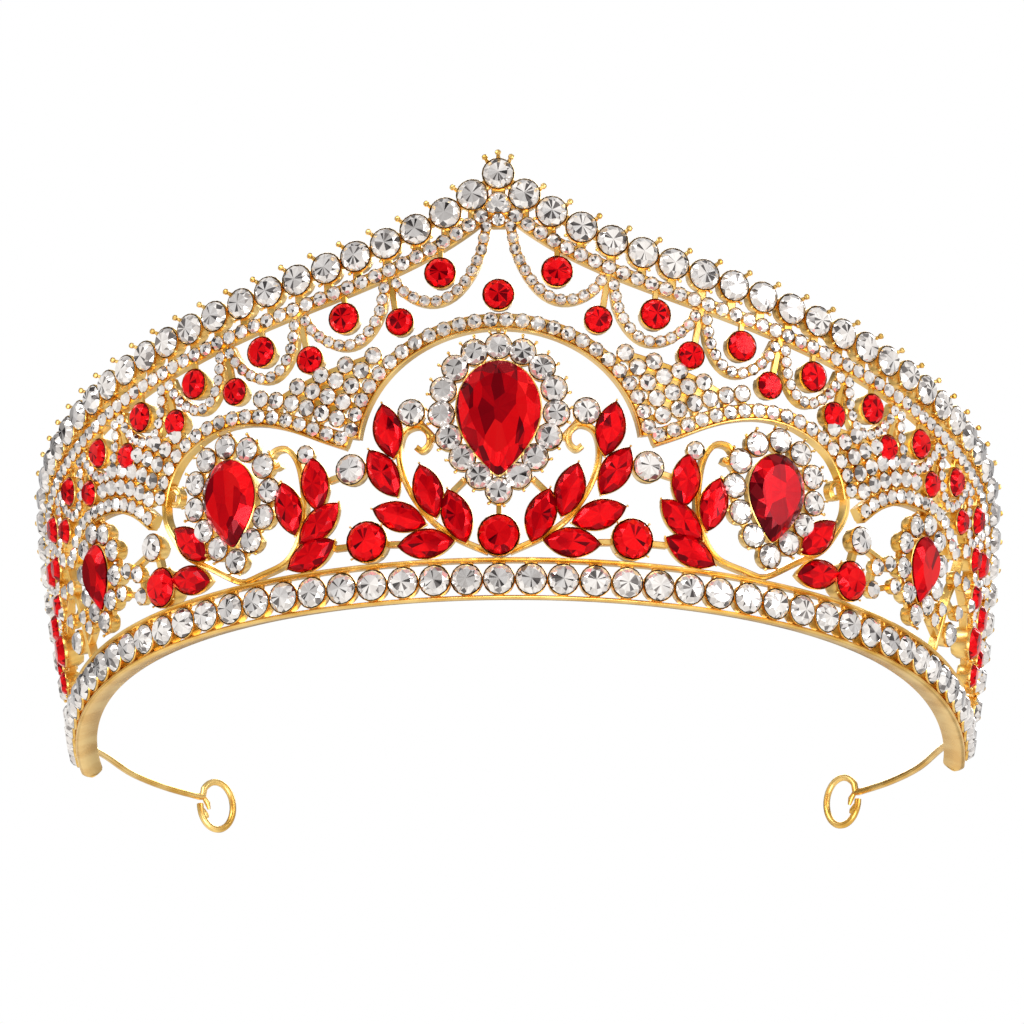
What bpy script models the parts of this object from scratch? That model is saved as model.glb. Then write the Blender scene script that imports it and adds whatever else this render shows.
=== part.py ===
"""A tiara of gold-plated brass castings and glass stones, built on a sprung band.

Every piece of openwork is drawn flat, as the pattern maker draws it: "along" runs round the band from
its front, "up" runs up the wall, and "out" stands off it. place() then bends that flat pattern onto the
flared wall. Lengths are in millimetres until place() turns them into metres.
"""

import math

import bmesh
import bpy
import numpy as np
from mathutils import Vector
from mathutils.geometry import delaunay_2d_cdt

MM = 0.001

# Wall and band
FLARE = math.radians(12.0)  # the wall leans outward by this much
BAND_BEND = (0.0114, 0.0246, -0.0436, 0.0175)  # curvature, 1/mm, by even powers of along / 100 mm
BAND_HALF = 126.0  # along the band, from its front to each end
TAB = 4.0  # the bare end of the band
WALL_END = BAND_HALF - TAB  # where the openwork comes down to the band
BAND_HEIGHT = 6.2
RAIL_THICK = 0.6
FOOT_IN = 0.3  # the flat foot of the lower rail reaches this far inward,
FOOT_OUT = 0.7  # this far outward,
FLANGE_IN = 2.7  # and its flange, square to the wall, this far inward
GAP = 0.3  # clearance between neighbouring castings

# Crest line: height above the band at the front, its slope, the rise of the peak, the fall at the ends
WALL_HEIGHT = 50.8
DRAWN_HEIGHT = 50.8  # the wall height that the openwork below is drawn for
CREST_SLOPE = 0.168
PEAK_RISE = 10.2
PEAK_WIDTH = 11.0
SHOULDER = 34.0  # length of the rounded fall
SHOULDER_START = WALL_END - SHOULDER
SHOULDER_DROP = 27.5
SHOULDER_TURN = math.radians(70.0)

# Castings
PLATE_BACK = -0.6
PLATE_FRONT = 0.6
CUP_FRONT = 1.0
CUP_FLAT = 0.87  # a cup in a row is flat above and below at this share of its radius
PAVE_WIDTH = 2.0
ARCH_WIDTH = 2.6
SWAG_WIDTH = 1.7
STEM_WIDTH = 1.2
WIRE_DIAMETER = 1.2

# Stones
BAND_PITCH = 4.85  # one round stone of the band to the next
CREST_STONE = 4.7
CREST_PITCH = 5.15
SWAG_RUBY = 4.8
FOOT_RUBY = 6.0
FOOT_CUP = 2.6
FOOT_CLEAR = 0.7  # between the band and the red stones that stand on it
ROUND_CRYSTAL = 4.6
STONE_HEIGHT = 2.2
PEAR_HEIGHT = 3.4
CENTER_PEAR_HEIGHT = 4.2
MARQUISE = (8.0, 4.0)

# Outline of the pear stones: an oval that tapers below its shoulder
PEAR_FULLNESS = 1.05
PEAR_SHOULDER = 0.75
PEAR_TAPER = 0.1535
PEAR_POWER = 2.65

# Garland: where its swags are tied, and how far below the crest each row hangs
SWAG_TIES = (0.9, 15.2, 28.6, 40.8, 52.0, 63.0, 74.5, 86.0, 97.0, 107.0, 116.0)
PAVE_DEPTH = 4.4
SWAG_DEPTH = 13.6
RUBY_DEPTH = 9.0
TIE_RUBY_DEPTH = 13.4
TIE_RUBY_SHIFT = 1.3
RUBY_SWAGS = 8

# The openwork, drawn as (along, up above the band)
# Arches
CENTRAL_ARCH = (16.8, 22.2, 20.8)  # springing height, half width, rise
CENTRAL_ARCH_FROM = math.radians(10.0)
SIDE_ARCH = ((23.4, 20.7), (26.4, 22.0), (30.5, 24.2), (34.8, 25.9), (39.2, 26.8), (44.0, 26.6),
             (48.4, 25.2), (52.0, 23.0), (54.6, 19.8), (55.8, 16.8))
END_ARCH = ((58.0, 14.8), (61.4, 18.1), (65.7, 20.4), (70.5, 21.4), (75.5, 21.6), (80.0, 20.4), (83.4, 17.4))
LATTICE_1 = ((17.8, 32.1), (20.4, 34.4), (25.0, 33.6), (26.3, 31.0), (30.6, 32.0), (33.5, 30.4), (38.2, 31.6),
             (39.2, 27.8), (31.5, 24.8), (23.5, 20.8), (21.0, 25.3), (19.0, 28.5))
LATTICE_2 = ((54.6, 24.4), (57.6, 26.4), (60.0, 24.6), (63.2, 26.0), (66.0, 24.7), (70.5, 25.6), (72.0, 22.3),
             (66.0, 20.8), (60.5, 18.3), (57.6, 16.4))

# Medallions: along, up, stone length, stone width, halo stones, halo stone size
MEDALLIONS = {
    "center": (0.0, 22.0, 18.0, 13.0, 16, 3.6),
    "side": (42.0, 13.4, 14.0, 10.0, 12, 3.1),
    "end": (74.6, 11.0, 11.0, 8.0, 10, 3.1),
}
HALO_OFFSET = 0.3  # between the big stone and its halo
HALO_BACKING = 0.8  # of a halo stone has metal behind it
ARCH_STEPS = 20

# Sprays: a stem, leaves (along, up, lean in degrees), round cups (along, up, radius) and links
SPRAY_CENTER = {
    "stem": ((3.6, 2.0), (6.1, 3.3), (9.4, 5.7), (11.7, 8.5), (13.6, 12.1), (14.6, 15.9), (14.5, 18.7),
             (13.6, 20.7), (12.2, 21.0)),
    "leaves": ((16.1, 20.8, 10), (17.0, 14.2, 29), (14.8, 7.2, 70), (10.9, 2.7, 92), (10.4, 10.9, 16),
               (6.2, 6.8, 18)),
    "cups": ((19.9, 3.7, 2.6),),
    "links": (((13.8, 2.7), (19.9, 3.2)), ((13.9, 13.0), (17.0, 14.2)), ((19.9, 3.2), (19.9, GAP))),
}
SPRAY_SIDE = {
    "stem": ((38.2, 1.1), (33.5, 2.2), (30.9, 5.8), (29.8, 10.1), (29.9, 15.3), (30.9, 18.0), (32.3, 19.4)),
    "leaves": ((32.1, 10.6, 11), (27.6, 13.8, 5), (27.3, 7.5, -51), (28.9, 2.8, -68)),
    "cups": ((21.9, 15.3, 2.2), (28.8, 19.0, 1.3)),
    "links": (((21.9, 15.3), (28.0, 14.3)), ((28.0, 15.8), (28.8, 19.0))),
}
SPRAY_END = {
    "stem": ((42.5, 1.2), (47.0, 4.1), (51.5, 7.1), (53.8, 10.5), (54.6, 13.8)),
    "leaves": ((50.2, 8.9, 43), (51.0, 3.2, 75)),
    "cups": ((57.3, 3.7, 2.6), (58.6, 10.7, 2.2), (62.9, 7.6, 1.5), (62.6, 3.8, 1.5)),
    "links": (((46.5, 3.5), (51.5, 3.4), (57.3, 3.4)), ((57.5, 3.8), (58.6, 10.7)),
              ((57.3, 3.4), (62.6, 3.8)), ((58.6, 9.7), (62.9, 7.6)), ((62.6, 3.8), (62.9, 7.6)),
              ((57.3, 3.4), (57.3, GAP))),
}
END_PANEL = {
    "stem": ((83.9, 0.45), (85.2, 5.8), (86.0, 9.8), (88.0, 14.3), (89.0, 18.3)),
    "leaves": (),
    "cups": ((88.6, 18.6, 1.5), (91.4, 14.4, 1.5), (90.0, 9.1, 1.6), (88.0, 4.6, 1.9), (95.6, 12.4, 1.5),
             (100.6, 8.0, 3.0), (106.0, 4.4, 2.4)),
    "links": (((88.0, 14.3), (91.4, 14.4), (95.6, 12.4), (100.6, 8.0), (106.0, 4.4)),
              ((86.0, 9.8), (90.0, 9.1)), ((84.8, 4.6), (88.0, 4.6))),
}

# Back wires: a stem as (past the wall's end, inward, up), then an upright eye for a hairpin
WIRE_STEM = ((-7.0, 1.4, 1.95), (2.0, 3.4, 3.3), (13.0, 6.8, 3.9), (23.5, 11.8, 4.9), (33.0, 17.6, 6.2))
EYE_TURN = math.radians(54.0)  # from the band's end direction to the eye's level direction, inward
EYE_WIDTH = 7.0
EYE_TALL = 9.0
EYE_CLEAR = 0.1  # under the eye
EYE_FROM = math.radians(150.0)
EYE_TO = math.radians(-176.0)
EYE_STEPS = 22

TOUCH = 1e-4  # corners nearer than this are one
STEP = 4.5  # spacing of stations along a swept rail


def band_tables():
    """Plan position and heading of the band at small steps along it."""
    along = np.linspace(0.0, 150.0, 1201)
    bend = sum(value * (along / 100.0) ** (2 * power) for power, value in enumerate(BAND_BEND))
    step = along[1]
    heading = np.concatenate([[0.0], np.cumsum((bend[1:] + bend[:-1]) / 2 * step)])
    across, back = (
        np.concatenate([[0.0], np.cumsum((part[1:] + part[:-1]) / 2 * step)])
        for part in (np.cos(heading), np.sin(heading))
    )
    return along, bend, heading, across, back


ALONG, BEND, HEADING, ACROSS, BACK = band_tables()


def frame(along, flare=FLARE):
    """Foot of the wall at this place, and its directions along, up and out."""
    side = -1.0 if along < 0 else 1.0
    distance = abs(along)
    turn = float(np.interp(distance, ALONG, HEADING)) * side
    across, back = (float(np.interp(distance, ALONG, table)) for table in (ACROSS, BACK))
    foot = Vector((across * side, back, 0))
    away = Vector((math.sin(turn), -math.cos(turn), 0))
    level = Vector((0, 0, 1))
    up = level * math.cos(flare) + away * math.sin(flare)
    out = away * math.cos(flare) - level * math.sin(flare)
    return foot, Vector((math.cos(turn), math.sin(turn), 0)), up, out


def place(along, up, out=0.0, flare=FLARE):
    foot, _, upward, outward = frame(along, flare)
    return (foot + upward * up + outward * out) * MM


def stretch(along, up):
    """How much longer the flared wall is at this height than at its foot."""
    return 1.0 + up * math.sin(FLARE) * float(np.interp(abs(along), ALONG, BEND))


def lift(up):
    """Height on the wall of a place drawn this far above the band."""
    return BAND_HEIGHT + up * WALL_HEIGHT / DRAWN_HEIGHT


def lifted(points):
    return [(point[0], lift(point[1])) for point in points]


def crest(along):
    drawn = DRAWN_HEIGHT - CREST_SLOPE * along + PEAK_RISE * math.exp(-along / PEAK_WIDTH)
    past = max(0.0, (along - SHOULDER_START) / (WALL_END - SHOULDER_START))
    return lift(drawn - SHOULDER_DROP * past**2)


def hang(along, depth):
    """The point this far below the crest: straight down, and turned inward round the shoulder.

    What hangs below the pave row fills the room down to the central arch, however tall the wall is.
    """
    arch_top = CENTRAL_ARCH[0] + CENTRAL_ARCH[2]
    room = lift(DRAWN_HEIGHT) - lift(arch_top) - PAVE_DEPTH
    depth += max(0.0, depth - PAVE_DEPTH) * (room / (DRAWN_HEIGHT - arch_top - PAVE_DEPTH) - 1)
    past = min(1.0, max(0.0, (along - SHOULDER_START) / (WALL_END - SHOULDER_START)))
    turn = SHOULDER_TURN * past * past * (3 - 2 * past)
    return along - depth * math.sin(turn), crest(along) - depth * math.cos(turn)


def smooth(points, steps=3):
    """A rounded run through the points, with this many segments between neighbours."""
    ends = [points[0], *points, points[-1]]
    run = []
    for a, b, c, d in zip(ends, ends[1:], ends[2:], ends[3:]):
        for index in range(steps):
            t = index / steps
            t2, t3 = t * t, t**3
            weights = (-t + 2 * t2 - t3, 2 - 5 * t2 + 3 * t3, t + 4 * t2 - 3 * t3, t3 - t2)
            axes = zip(a, b, c, d)
            run.append(tuple(sum(w * value for w, value in zip(weights, four)) / 2 for four in axes))
    return [*run, tuple(points[-1])]


def strip(points, width):
    """A band of metal of this width along the points. Every shape here is a function of its growth."""

    def outline(grow):
        half = width / 2 + grow
        left, right = [], []
        for index, point in enumerate(points):
            before = points[max(index - 1, 0)]
            after = points[min(index + 1, len(points) - 1)]
            run = Vector((after[0] - before[0], after[1] - before[1])).normalized()
            push = grow * (index == len(points) - 1) - grow * (index == 0)
            left.append((point[0] - run.y * half + run.x * push, point[1] + run.x * half + run.y * push))
            right.append((point[0] + run.y * half + run.x * push, point[1] - run.x * half + run.y * push))
        return right + left[::-1]

    return outline


def disc(along, up, radius, sides=8):
    def outline(grow):
        wide = (radius + grow) / stretch(along, up)
        angles = [2 * math.pi * (index + 0.5) / sides for index in range(sides)]
        return [(along + wide * math.cos(a), up + (radius + grow) * math.sin(a)) for a in angles]

    return outline


def leaf_outline(length, width, arc=4):
    """A marquise, point to point, as two arcs; it stands upright about the origin."""
    angles = [math.pi * index / arc for index in range(arc)]
    half = [(width / 2 * math.sin(angle), -length / 2 * math.cos(angle)) for angle in angles]
    return half + [(-across, -up) for across, up in half]


def leaf(along, up, lean):
    turn = math.radians(lean)

    def outline(grow):
        points = leaf_outline(MARQUISE[0] + 2 * grow, MARQUISE[1] + 2 * grow)
        return [
            (along + (x * math.cos(turn) + y * math.sin(turn)) / stretch(along, up),
             up - x * math.sin(turn) + y * math.cos(turn))
            for x, y in points
        ]

    return outline


def pear_outline(length, width, sides=16):
    """A pear with its round end up and its point down, about its middle."""
    points = []
    for index in range(sides):
        angle = 2 * math.pi * index / sides - math.pi / 2
        below = max(0.0, PEAR_SHOULDER - math.sin(angle))
        wide = PEAR_FULLNESS - PEAR_TAPER * below**PEAR_POWER
        points.append((width / 2 * math.cos(angle) * wide, length / 2 * math.sin(angle)))
    return points


def polygon(points):
    """A plate outline drawn by hand; it grows away from its own middle."""
    middle = Vector((sum(p[0] for p in points), sum(p[1] for p in points))) / len(points)

    def outline(grow):
        spokes = [Vector(p) - middle for p in points]
        return [tuple(middle + spoke * (1 + grow / spoke.length)) for spoke in spokes]

    return outline


def add_material(name, color, roughness, metallic, transmission=0.0):
    material = bpy.data.materials.new(name)
    material.use_nodes = True
    shader = material.node_tree.nodes["Principled BSDF"]
    shader.inputs["Base Color"].default_value = (*color, 1.0)
    shader.inputs["Roughness"].default_value = roughness
    shader.inputs["Metallic"].default_value = metallic
    shader.inputs["Transmission Weight"].default_value = transmission
    return material


def add_object(name, points, faces, material):
    mesh = bpy.data.meshes.new(name)
    mesh.from_pydata([tuple(point) for point in points], [], faces)
    work = bmesh.new()
    work.from_mesh(mesh)
    bmesh.ops.recalc_face_normals(work, faces=work.faces)
    work.to_mesh(mesh)
    work.free()
    mesh.materials.append(material)
    made = bpy.data.objects.new(name, mesh)
    bpy.context.scene.collection.objects.link(made)
    return made


def holds(outline, points):
    """Which of the points the outline winds round."""
    winding = np.zeros(len(points))
    for (ax, ay), (bx, by) in zip(outline, outline[1:] + outline[:1]):
        side = (bx - ax) * (points[:, 1] - ay) - (by - ay) * (points[:, 0] - ax)
        rising = (ay <= points[:, 1]) & (by > points[:, 1]) & (side > 0)
        falling = (ay > points[:, 1]) & (by <= points[:, 1]) & (side < 0)
        winding += rising.astype(int) - falling.astype(int)
    return winding != 0


def plate(name, shapes, cuts=(), side=1, front=PLATE_FRONT, back=PLATE_BACK):
    """One casting: the union of the flat shapes, less the grown cuts, thickened and bent onto the wall."""
    outlines = [shape(0.0) for shape in shapes] + [cut(GAP) for cut in cuts]
    corners = [Vector(point) for outline in outlines for point in outline]
    rings, start = [], 0
    for outline in outlines:
        rings.append(list(range(start, start + len(outline))))
        start += len(outline)
    flat, _, tiles, _, _, _ = delaunay_2d_cdt(corners, [], rings, 0, TOUCH, True)
    middles = np.array([sum((flat[corner] for corner in tile), Vector((0, 0))) / 3 for tile in tiles])
    inside = np.any([holds(outline, middles) for outline in outlines[:len(shapes)]], axis=0)
    for outline in outlines[len(shapes):]:
        inside &= ~holds(outline, middles)
    kept = [tile for tile, keep in zip(tiles, inside) if keep]
    used = sorted({corner for tile in kept for corner in tile})
    order = {corner: index for index, corner in enumerate(used)}
    points = [place(side * flat[c][0], flat[c][1], out) for out in (front, back) for c in used]
    count = len(used)
    tops = [tuple(order[corner] for corner in tile) for tile in kept]
    edges = {}
    for tile in tops:
        for a, b in zip(tile, tile[1:] + tile[:1]):
            edges[(a, b)] = edges.get((b, a), 0)
            if (b, a) in edges:
                del edges[(a, b)]
                del edges[(b, a)]
    walls = [(a, b, b + count, a + count) for a, b in edges]
    bottoms = [tuple(corner + count for corner in tile[::-1]) for tile in tops]
    return add_object(name, points, tops + bottoms + walls, MATERIALS["gold"])


def walls(rings, sides):
    """The quads between rings of corners, ring after ring."""
    faces = []
    for row in range(rings - 1):
        low, high = row * sides, (row + 1) * sides
        for a in range(sides):
            b = (a + 1) % sides
            faces.append((low + a, low + b, high + b, high + a))
    return faces


def sweep(name, stations, section):
    """A closed bar: section(along) gives the same number of (up, out, flare) corners at each station."""
    rings = [[place(along, *corner) for corner in section(along)] for along in stations]
    sides = len(rings[0])
    points = [point for ring in rings for point in ring]
    faces = walls(len(rings), sides)
    faces += [tuple(range(sides)), tuple(range(len(points) - sides, len(points)))]
    return add_object(name, points, faces, MATERIALS["gold"])


def gem(name, along, up, outline, material, foot=PLATE_FRONT + GAP, height=STONE_HEIGHT, lean=0.0):
    """A cut stone: a pavilion cup, a girdle, a sloped crown and a flat table."""
    origin, right, upward, outward = frame(along)
    origin = origin + upward * up
    turn = math.radians(lean)
    rings = ((0.55, 0.0), (1.0, 0.35 * height), (1.0, 0.45 * height), (0.62, height))
    points = []
    for scale, rise in rings:
        for x, y in outline:
            across = (x * math.cos(turn) + y * math.sin(turn)) * scale
            above = (-x * math.sin(turn) + y * math.cos(turn)) * scale
            points.append((origin + right * across + upward * above + outward * (foot + rise)) * MM)
    sides = len(outline)
    faces = walls(len(rings), sides)
    faces += [tuple(range(sides)), tuple(range(3 * sides, 4 * sides))]
    return add_object(name, points, faces, material)


def round_outline(diameter, sides=8):
    angles = [2 * math.pi * (index + 0.5) / sides for index in range(sides)]
    return [(diameter / 2 * math.cos(a), diameter / 2 * math.sin(a)) for a in angles]


def band_stations(end):
    count = 2 * round(end / STEP)
    return [-end + 2 * end * index / count for index in range(count + 1)]


def lower_rail():
    """A strip to stand on: a flat foot, a flange square to the wall and a rounded tab at each end."""
    half = (FOOT_OUT + FLANGE_IN) / 2
    tab_start = BAND_HALF - half
    slope = math.tan(FLARE)

    def section(along):
        past = max(0.0, abs(along) - tab_start) / half
        narrow = math.sqrt(max(0.04, 1 - past * past))
        middle = (FOOT_OUT - FLANGE_IN) / 2
        front, heel, back = (middle + (out - middle) * narrow for out in (FOOT_OUT, -FOOT_IN, -FLANGE_IN))
        rise = (heel - back) * slope
        return [(rise, back, 0.0), (0.0, heel, 0.0), (0.0, front, 0.0), (RAIL_THICK, front, 0.0),
                (RAIL_THICK, heel, 0.0), (RAIL_THICK + rise, back, 0.0)]

    tab = [tab_start + half * step for step in (0.5, 0.8, 1.0)]
    inner = band_stations(tab_start)
    return sweep("lower_rail", [-t for t in reversed(tab)] + inner + tab, section)


def upper_rail():
    corners = ((BAND_HEIGHT - RAIL_THICK, -0.6), (BAND_HEIGHT - RAIL_THICK, 1.0), (BAND_HEIGHT, 1.0),
               (BAND_HEIGHT, -0.6))
    section = [(up, out, FLARE) for up, out in corners]
    return sweep("upper_rail", band_stations(WALL_END), lambda along: section)


def chain(name, centers, radius, pinch=0.45):
    """Cup chain: round cups joined by narrow links, as one scalloped bar."""
    top, bottom = [], []
    for index, (along, up) in enumerate(centers):
        before = centers[max(index - 1, 0)]
        after = centers[min(index + 1, len(centers) - 1)]
        run = Vector((after[0] - before[0], after[1] - before[1])).normalized()
        side = Vector((-run.y, run.x))
        middle = Vector((along, up))
        wide = radius / stretch(along, up)
        for shift in (-0.5, 0.5):
            top.append(middle + run * wide * shift + side * radius * CUP_FLAT)
            bottom.append(middle + run * wide * shift - side * radius * CUP_FLAT)
        if index < len(centers) - 1:
            link = (middle + Vector(after)) / 2
            top.append(link + side * radius * pinch)
            bottom.append(link - side * radius * pinch)
    outline = [tuple(point) for point in bottom + top[::-1]]
    return plate(name, [lambda grow: outline], front=CUP_FRONT)


def base_cup_chain():
    count = int(WALL_END / BAND_PITCH)
    bottom = RAIL_THICK + GAP + CUP_FRONT * math.sin(FLARE)  # the lean brings the front of a cup down
    top = BAND_HEIGHT - RAIL_THICK - GAP
    centers = [(BAND_PITCH * index, (bottom + top) / 2) for index in range(-count, count + 1)]
    return chain("base_cup_chain", centers, (top - bottom) / 2 / CUP_FLAT)


def crest_places():
    """Places of the crest stones from the peak to the end, an equal distance apart on the real wall."""
    places, gone, step = [], 0.0, 0.1
    along = 0.0
    while along < WALL_END:
        if gone >= len(places) * CREST_PITCH:
            places.append((along, crest(along)))
        rise = crest(along + step) - crest(along)
        gone += math.hypot(step * stretch(along, crest(along)), rise)
        along += step
    return places


def crest_cup_chain():
    half = crest_places()
    centers = [(-along, up) for along, up in half[:0:-1]] + half
    return chain("crest_cup_chain", centers, CREST_STONE / 2 - GAP)


def swag(start, end):
    """A festoon between two ties, deepest a little before its middle."""
    points = []
    for index in range(8):
        share = index / 7
        droop = math.sin(math.pi * share**0.75) ** 0.7 if 0 < share < 1 else 0.0
        depth = PAVE_DEPTH + (SWAG_DEPTH - PAVE_DEPTH) * droop
        points.append(hang(start + (end - start) * share, depth))
    return strip(points, SWAG_WIDTH)


def swag_rubies():
    """Place of the ruby in each swag."""
    return [hang((start + end) / 2, RUBY_DEPTH) for start, end in zip(SWAG_TIES, SWAG_TIES[1:])]


def tie_rubies():
    return [hang(tie - TIE_RUBY_SHIFT, TIE_RUBY_DEPTH) for tie in SWAG_TIES[1:-1]]


def garland_shapes():
    first = SWAG_TIES[0] + GAP
    stations = [first + (SWAG_TIES[-1] - first) * index / 22 for index in range(23)]
    shapes = [strip([hang(along, PAVE_DEPTH) for along in stations], PAVE_WIDTH)]
    ties = SWAG_TIES
    shapes += [swag(start + 0.5, end - 0.5) for start, end in zip(ties, ties[1:])]
    shapes += [disc(*spot, SWAG_RUBY / 2, 6) for spot in swag_rubies() + tie_rubies()]
    shapes += [
        strip([hang((a + b) / 2, PAVE_DEPTH), hang((a + b) / 2, RUBY_DEPTH)], STEM_WIDTH)
        for a, b in zip(ties, ties[1:])
    ]
    shapes += [
        strip([hang(tie, PAVE_DEPTH), hang(tie - TIE_RUBY_SHIFT / 2, TIE_RUBY_DEPTH)], STEM_WIDTH)
        for tie in ties[1:-1]
    ]
    return shapes


def central_arch_shape():
    spring, half, rise = CENTRAL_ARCH
    span = math.pi - 2 * CENTRAL_ARCH_FROM
    angles = [CENTRAL_ARCH_FROM + span * index / ARCH_STEPS for index in range(ARCH_STEPS + 1)]
    line = [(half * math.cos(angle), spring + rise * math.sin(angle)) for angle in angles]
    return strip(lifted(line), ARCH_WIDTH)


def arch_shape(points):
    return strip(lifted(smooth(points, 2)), ARCH_WIDTH)


def halo_outline(key, extra):
    """The big stone's outline pushed outward by extra."""
    along, drawn, length, width, _, _ = MEDALLIONS[key]
    up = lift(drawn)
    points = pear_outline(length + 2 * extra, width + 2 * extra)
    return [(along + x / stretch(along, up), up + y) for x, y in points]


def medallion_shape(key):
    size = MEDALLIONS[key][5]
    return lambda grow: halo_outline(key, HALO_OFFSET + HALO_BACKING * size + grow)


def strut_shape(key):
    """What a medallion stands on: a strut from its middle down to the band."""
    along, drawn = MEDALLIONS[key][:2]
    return strip([(along, BAND_HEIGHT + GAP), (along, lift(drawn))], STEM_WIDTH)


def leaf_stalk(leaf_at, stem):
    """A short strip from a leaf to the nearest place on its stem."""
    along, up = leaf_at[0], lift(leaf_at[1])
    foot = min(stem, key=lambda point: math.hypot(point[0] - along, point[1] - up))
    return strip([(along, up), foot], STEM_WIDTH)


def spray_shapes(spray):
    stem = lifted(smooth(spray["stem"], 2))
    shapes = [strip(stem, STEM_WIDTH)]
    shapes += [leaf_stalk(leaf_at, stem) for leaf_at in spray["leaves"]]
    shapes += [leaf(along, lift(up), lean) for along, up, lean in spray["leaves"]]
    shapes += [disc(along, lift(up), radius) for along, up, radius in spray["cups"]]
    return shapes + [strip(lifted(link), STEM_WIDTH) for link in spray["links"]]


def halves(name, shapes, cuts=()):
    for side, word in ((-1, "left"), (1, "right")):
        plate(f"{name}_{word}", shapes, cuts, side)


def castings():
    """The openwork. Each casting is cut back from the ones made before it."""
    arches = [central_arch_shape(), arch_shape(SIDE_ARCH), arch_shape(END_ARCH)]
    garland = garland_shapes()
    medals = {key: medallion_shape(key) for key in MEDALLIONS}
    struts = {key: strut_shape(key) for key in MEDALLIONS}
    middle_foot = [disc(0.0, foot_ruby_height(), FOOT_CUP), struts["center"]]
    plate("central_arch", arches[:1])
    halves("side_arch", arches[1:2], arches[:1])
    halves("end_arch", arches[2:], arches[1:2])
    halves("garland", garland, arches)
    halves("lattice_inner", [polygon(lifted(LATTICE_1))], arches + garland)
    halves("lattice_outer", [polygon(lifted(LATTICE_2))], arches + garland)
    plate("medallion_center", [medals["center"], *middle_foot], arches)
    for side, word in ((-1, "left"), (1, "right")):
        plate(f"medallion_side_{word}", [medals["side"], struts["side"]], arches, side)
        plate(f"medallion_end_{word}", [medals["end"], struts["end"]], arches, side)
    blocked = arches + list(medals.values()) + list(struts.values()) + middle_foot[:1]
    halves("spray_center", spray_shapes(SPRAY_CENTER), blocked)
    halves("spray_side", spray_shapes(SPRAY_SIDE), blocked + spray_shapes(SPRAY_CENTER))
    halves("spray_end", spray_shapes(SPRAY_END), blocked)
    halves("end_panel", spray_shapes(END_PANEL), blocked + garland)


def foot_ruby_height():
    return BAND_HEIGHT + FOOT_CLEAR + FOOT_RUBY / 2


def drop_ruby_height():
    """The drop stands on the top of the central arch."""
    spring, _, rise = CENTRAL_ARCH
    return lift(spring + rise) + ARCH_WIDTH / 2 + GAP + SWAG_RUBY / 2


def stones():
    ruby, crystal = MATERIALS["ruby"], MATERIALS["crystal"]
    for side, word in ((-1, "left"), (1, "right")):
        for key in ("side", "end"):
            along, up, length, width, _, _ = MEDALLIONS[key]
            outline = pear_outline(length, width)
            gem(f"pear_{key}_{word}", side * along, lift(up), outline, ruby, height=PEAR_HEIGHT)
        for index, (along, up) in enumerate(swag_rubies()[:RUBY_SWAGS], 1):
            gem(f"swag_ruby_{word}_{index}", side * along, up, round_outline(SWAG_RUBY), ruby)
        for index, spray in enumerate((SPRAY_CENTER, SPRAY_END), 1):
            along, up, _ = spray["cups"][0]
            gem(f"foot_ruby_{word}_{index}", side * along, lift(up), round_outline(FOOT_RUBY), ruby)
        along, up, _ = SPRAY_SIDE["cups"][0]
        gem(f"round_crystal_{word}", side * along, lift(up), round_outline(ROUND_CRYSTAL), crystal)
    along, up, length, width, _, _ = MEDALLIONS["center"]
    gem("pear_center", along, lift(up), pear_outline(length, width), ruby, height=CENTER_PEAR_HEIGHT)
    gem("foot_ruby_center", 0.0, foot_ruby_height(), round_outline(FOOT_RUBY), ruby)
    gem("drop_ruby_center", 0.0, drop_ruby_height(), round_outline(SWAG_RUBY), ruby, foot=-GAP)


def wire_route():
    """The right-hand wire: its stem, then its eye, over the top, round, and back to just under the stem."""
    foot, ahead, _, out = frame(WALL_END, 0.0)
    level = Vector((0, 0, 1))
    stem = [foot + ahead * past - out * inward + level * up for past, inward, up in smooth(WIRE_STEM, 4)]
    across = ahead * math.cos(EYE_TURN) - out * math.sin(EYE_TURN)
    middle = stem[-1] + across * (EYE_WIDTH / 2) * abs(math.cos(EYE_FROM))
    middle.z = EYE_TALL / 2 + WIRE_DIAMETER / 2 + EYE_CLEAR
    eye = []
    for index in range(1, EYE_STEPS + 1):
        angle = EYE_FROM + (EYE_TO - EYE_FROM) * index / EYE_STEPS
        reach = across * (EYE_WIDTH / 2 * math.cos(angle))
        eye.append(middle + reach + level * (EYE_TALL / 2 * math.sin(angle)))
    return stem + eye


def back_wire(name, side):
    route = wire_route()
    curve = bpy.data.curves.new(name, "CURVE")
    curve.dimensions = "3D"
    curve.bevel_depth = WIRE_DIAMETER / 2 * MM
    curve.bevel_resolution = 1
    curve.use_fill_caps = True
    spline = curve.splines.new("POLY")
    spline.points.add(len(route) - 1)
    for spot, point in zip(spline.points, route):
        spot.co = (side * point.x * MM, point.y * MM, point.z * MM, 1.0)
    curve.materials.append(MATERIALS["gold"])
    made = bpy.data.objects.new(name, curve)
    bpy.context.scene.collection.objects.link(made)
    return made


for old in list(bpy.data.objects):
    bpy.data.objects.remove(old, do_unlink=True)

MATERIALS = {
    "gold": add_material("gold_plate", (0.83, 0.55, 0.18), 0.22, 1.0),
    "ruby": add_material("ruby_glass", (0.62, 0.01, 0.02), 0.05, 0.0, 0.5),
    "crystal": add_material("clear_glass", (0.92, 0.93, 0.95), 0.05, 0.0, 0.5),
}

lower_rail()
upper_rail()
base_cup_chain()
crest_cup_chain()
castings()
stones()
back_wire("back_wire_left", -1)
back_wire("back_wire_right", 1)
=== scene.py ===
"""Finish of the tiara: gold settings and wires, cut red and clear stones, studio and camera.

Every setting is laid out on the flat pattern first ("along" round the band from its front, "up" the wall,
"out" off it, in millimetres), and then bent onto the flared wall, as the castings are.
"""

import itertools
import math
import random

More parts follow.
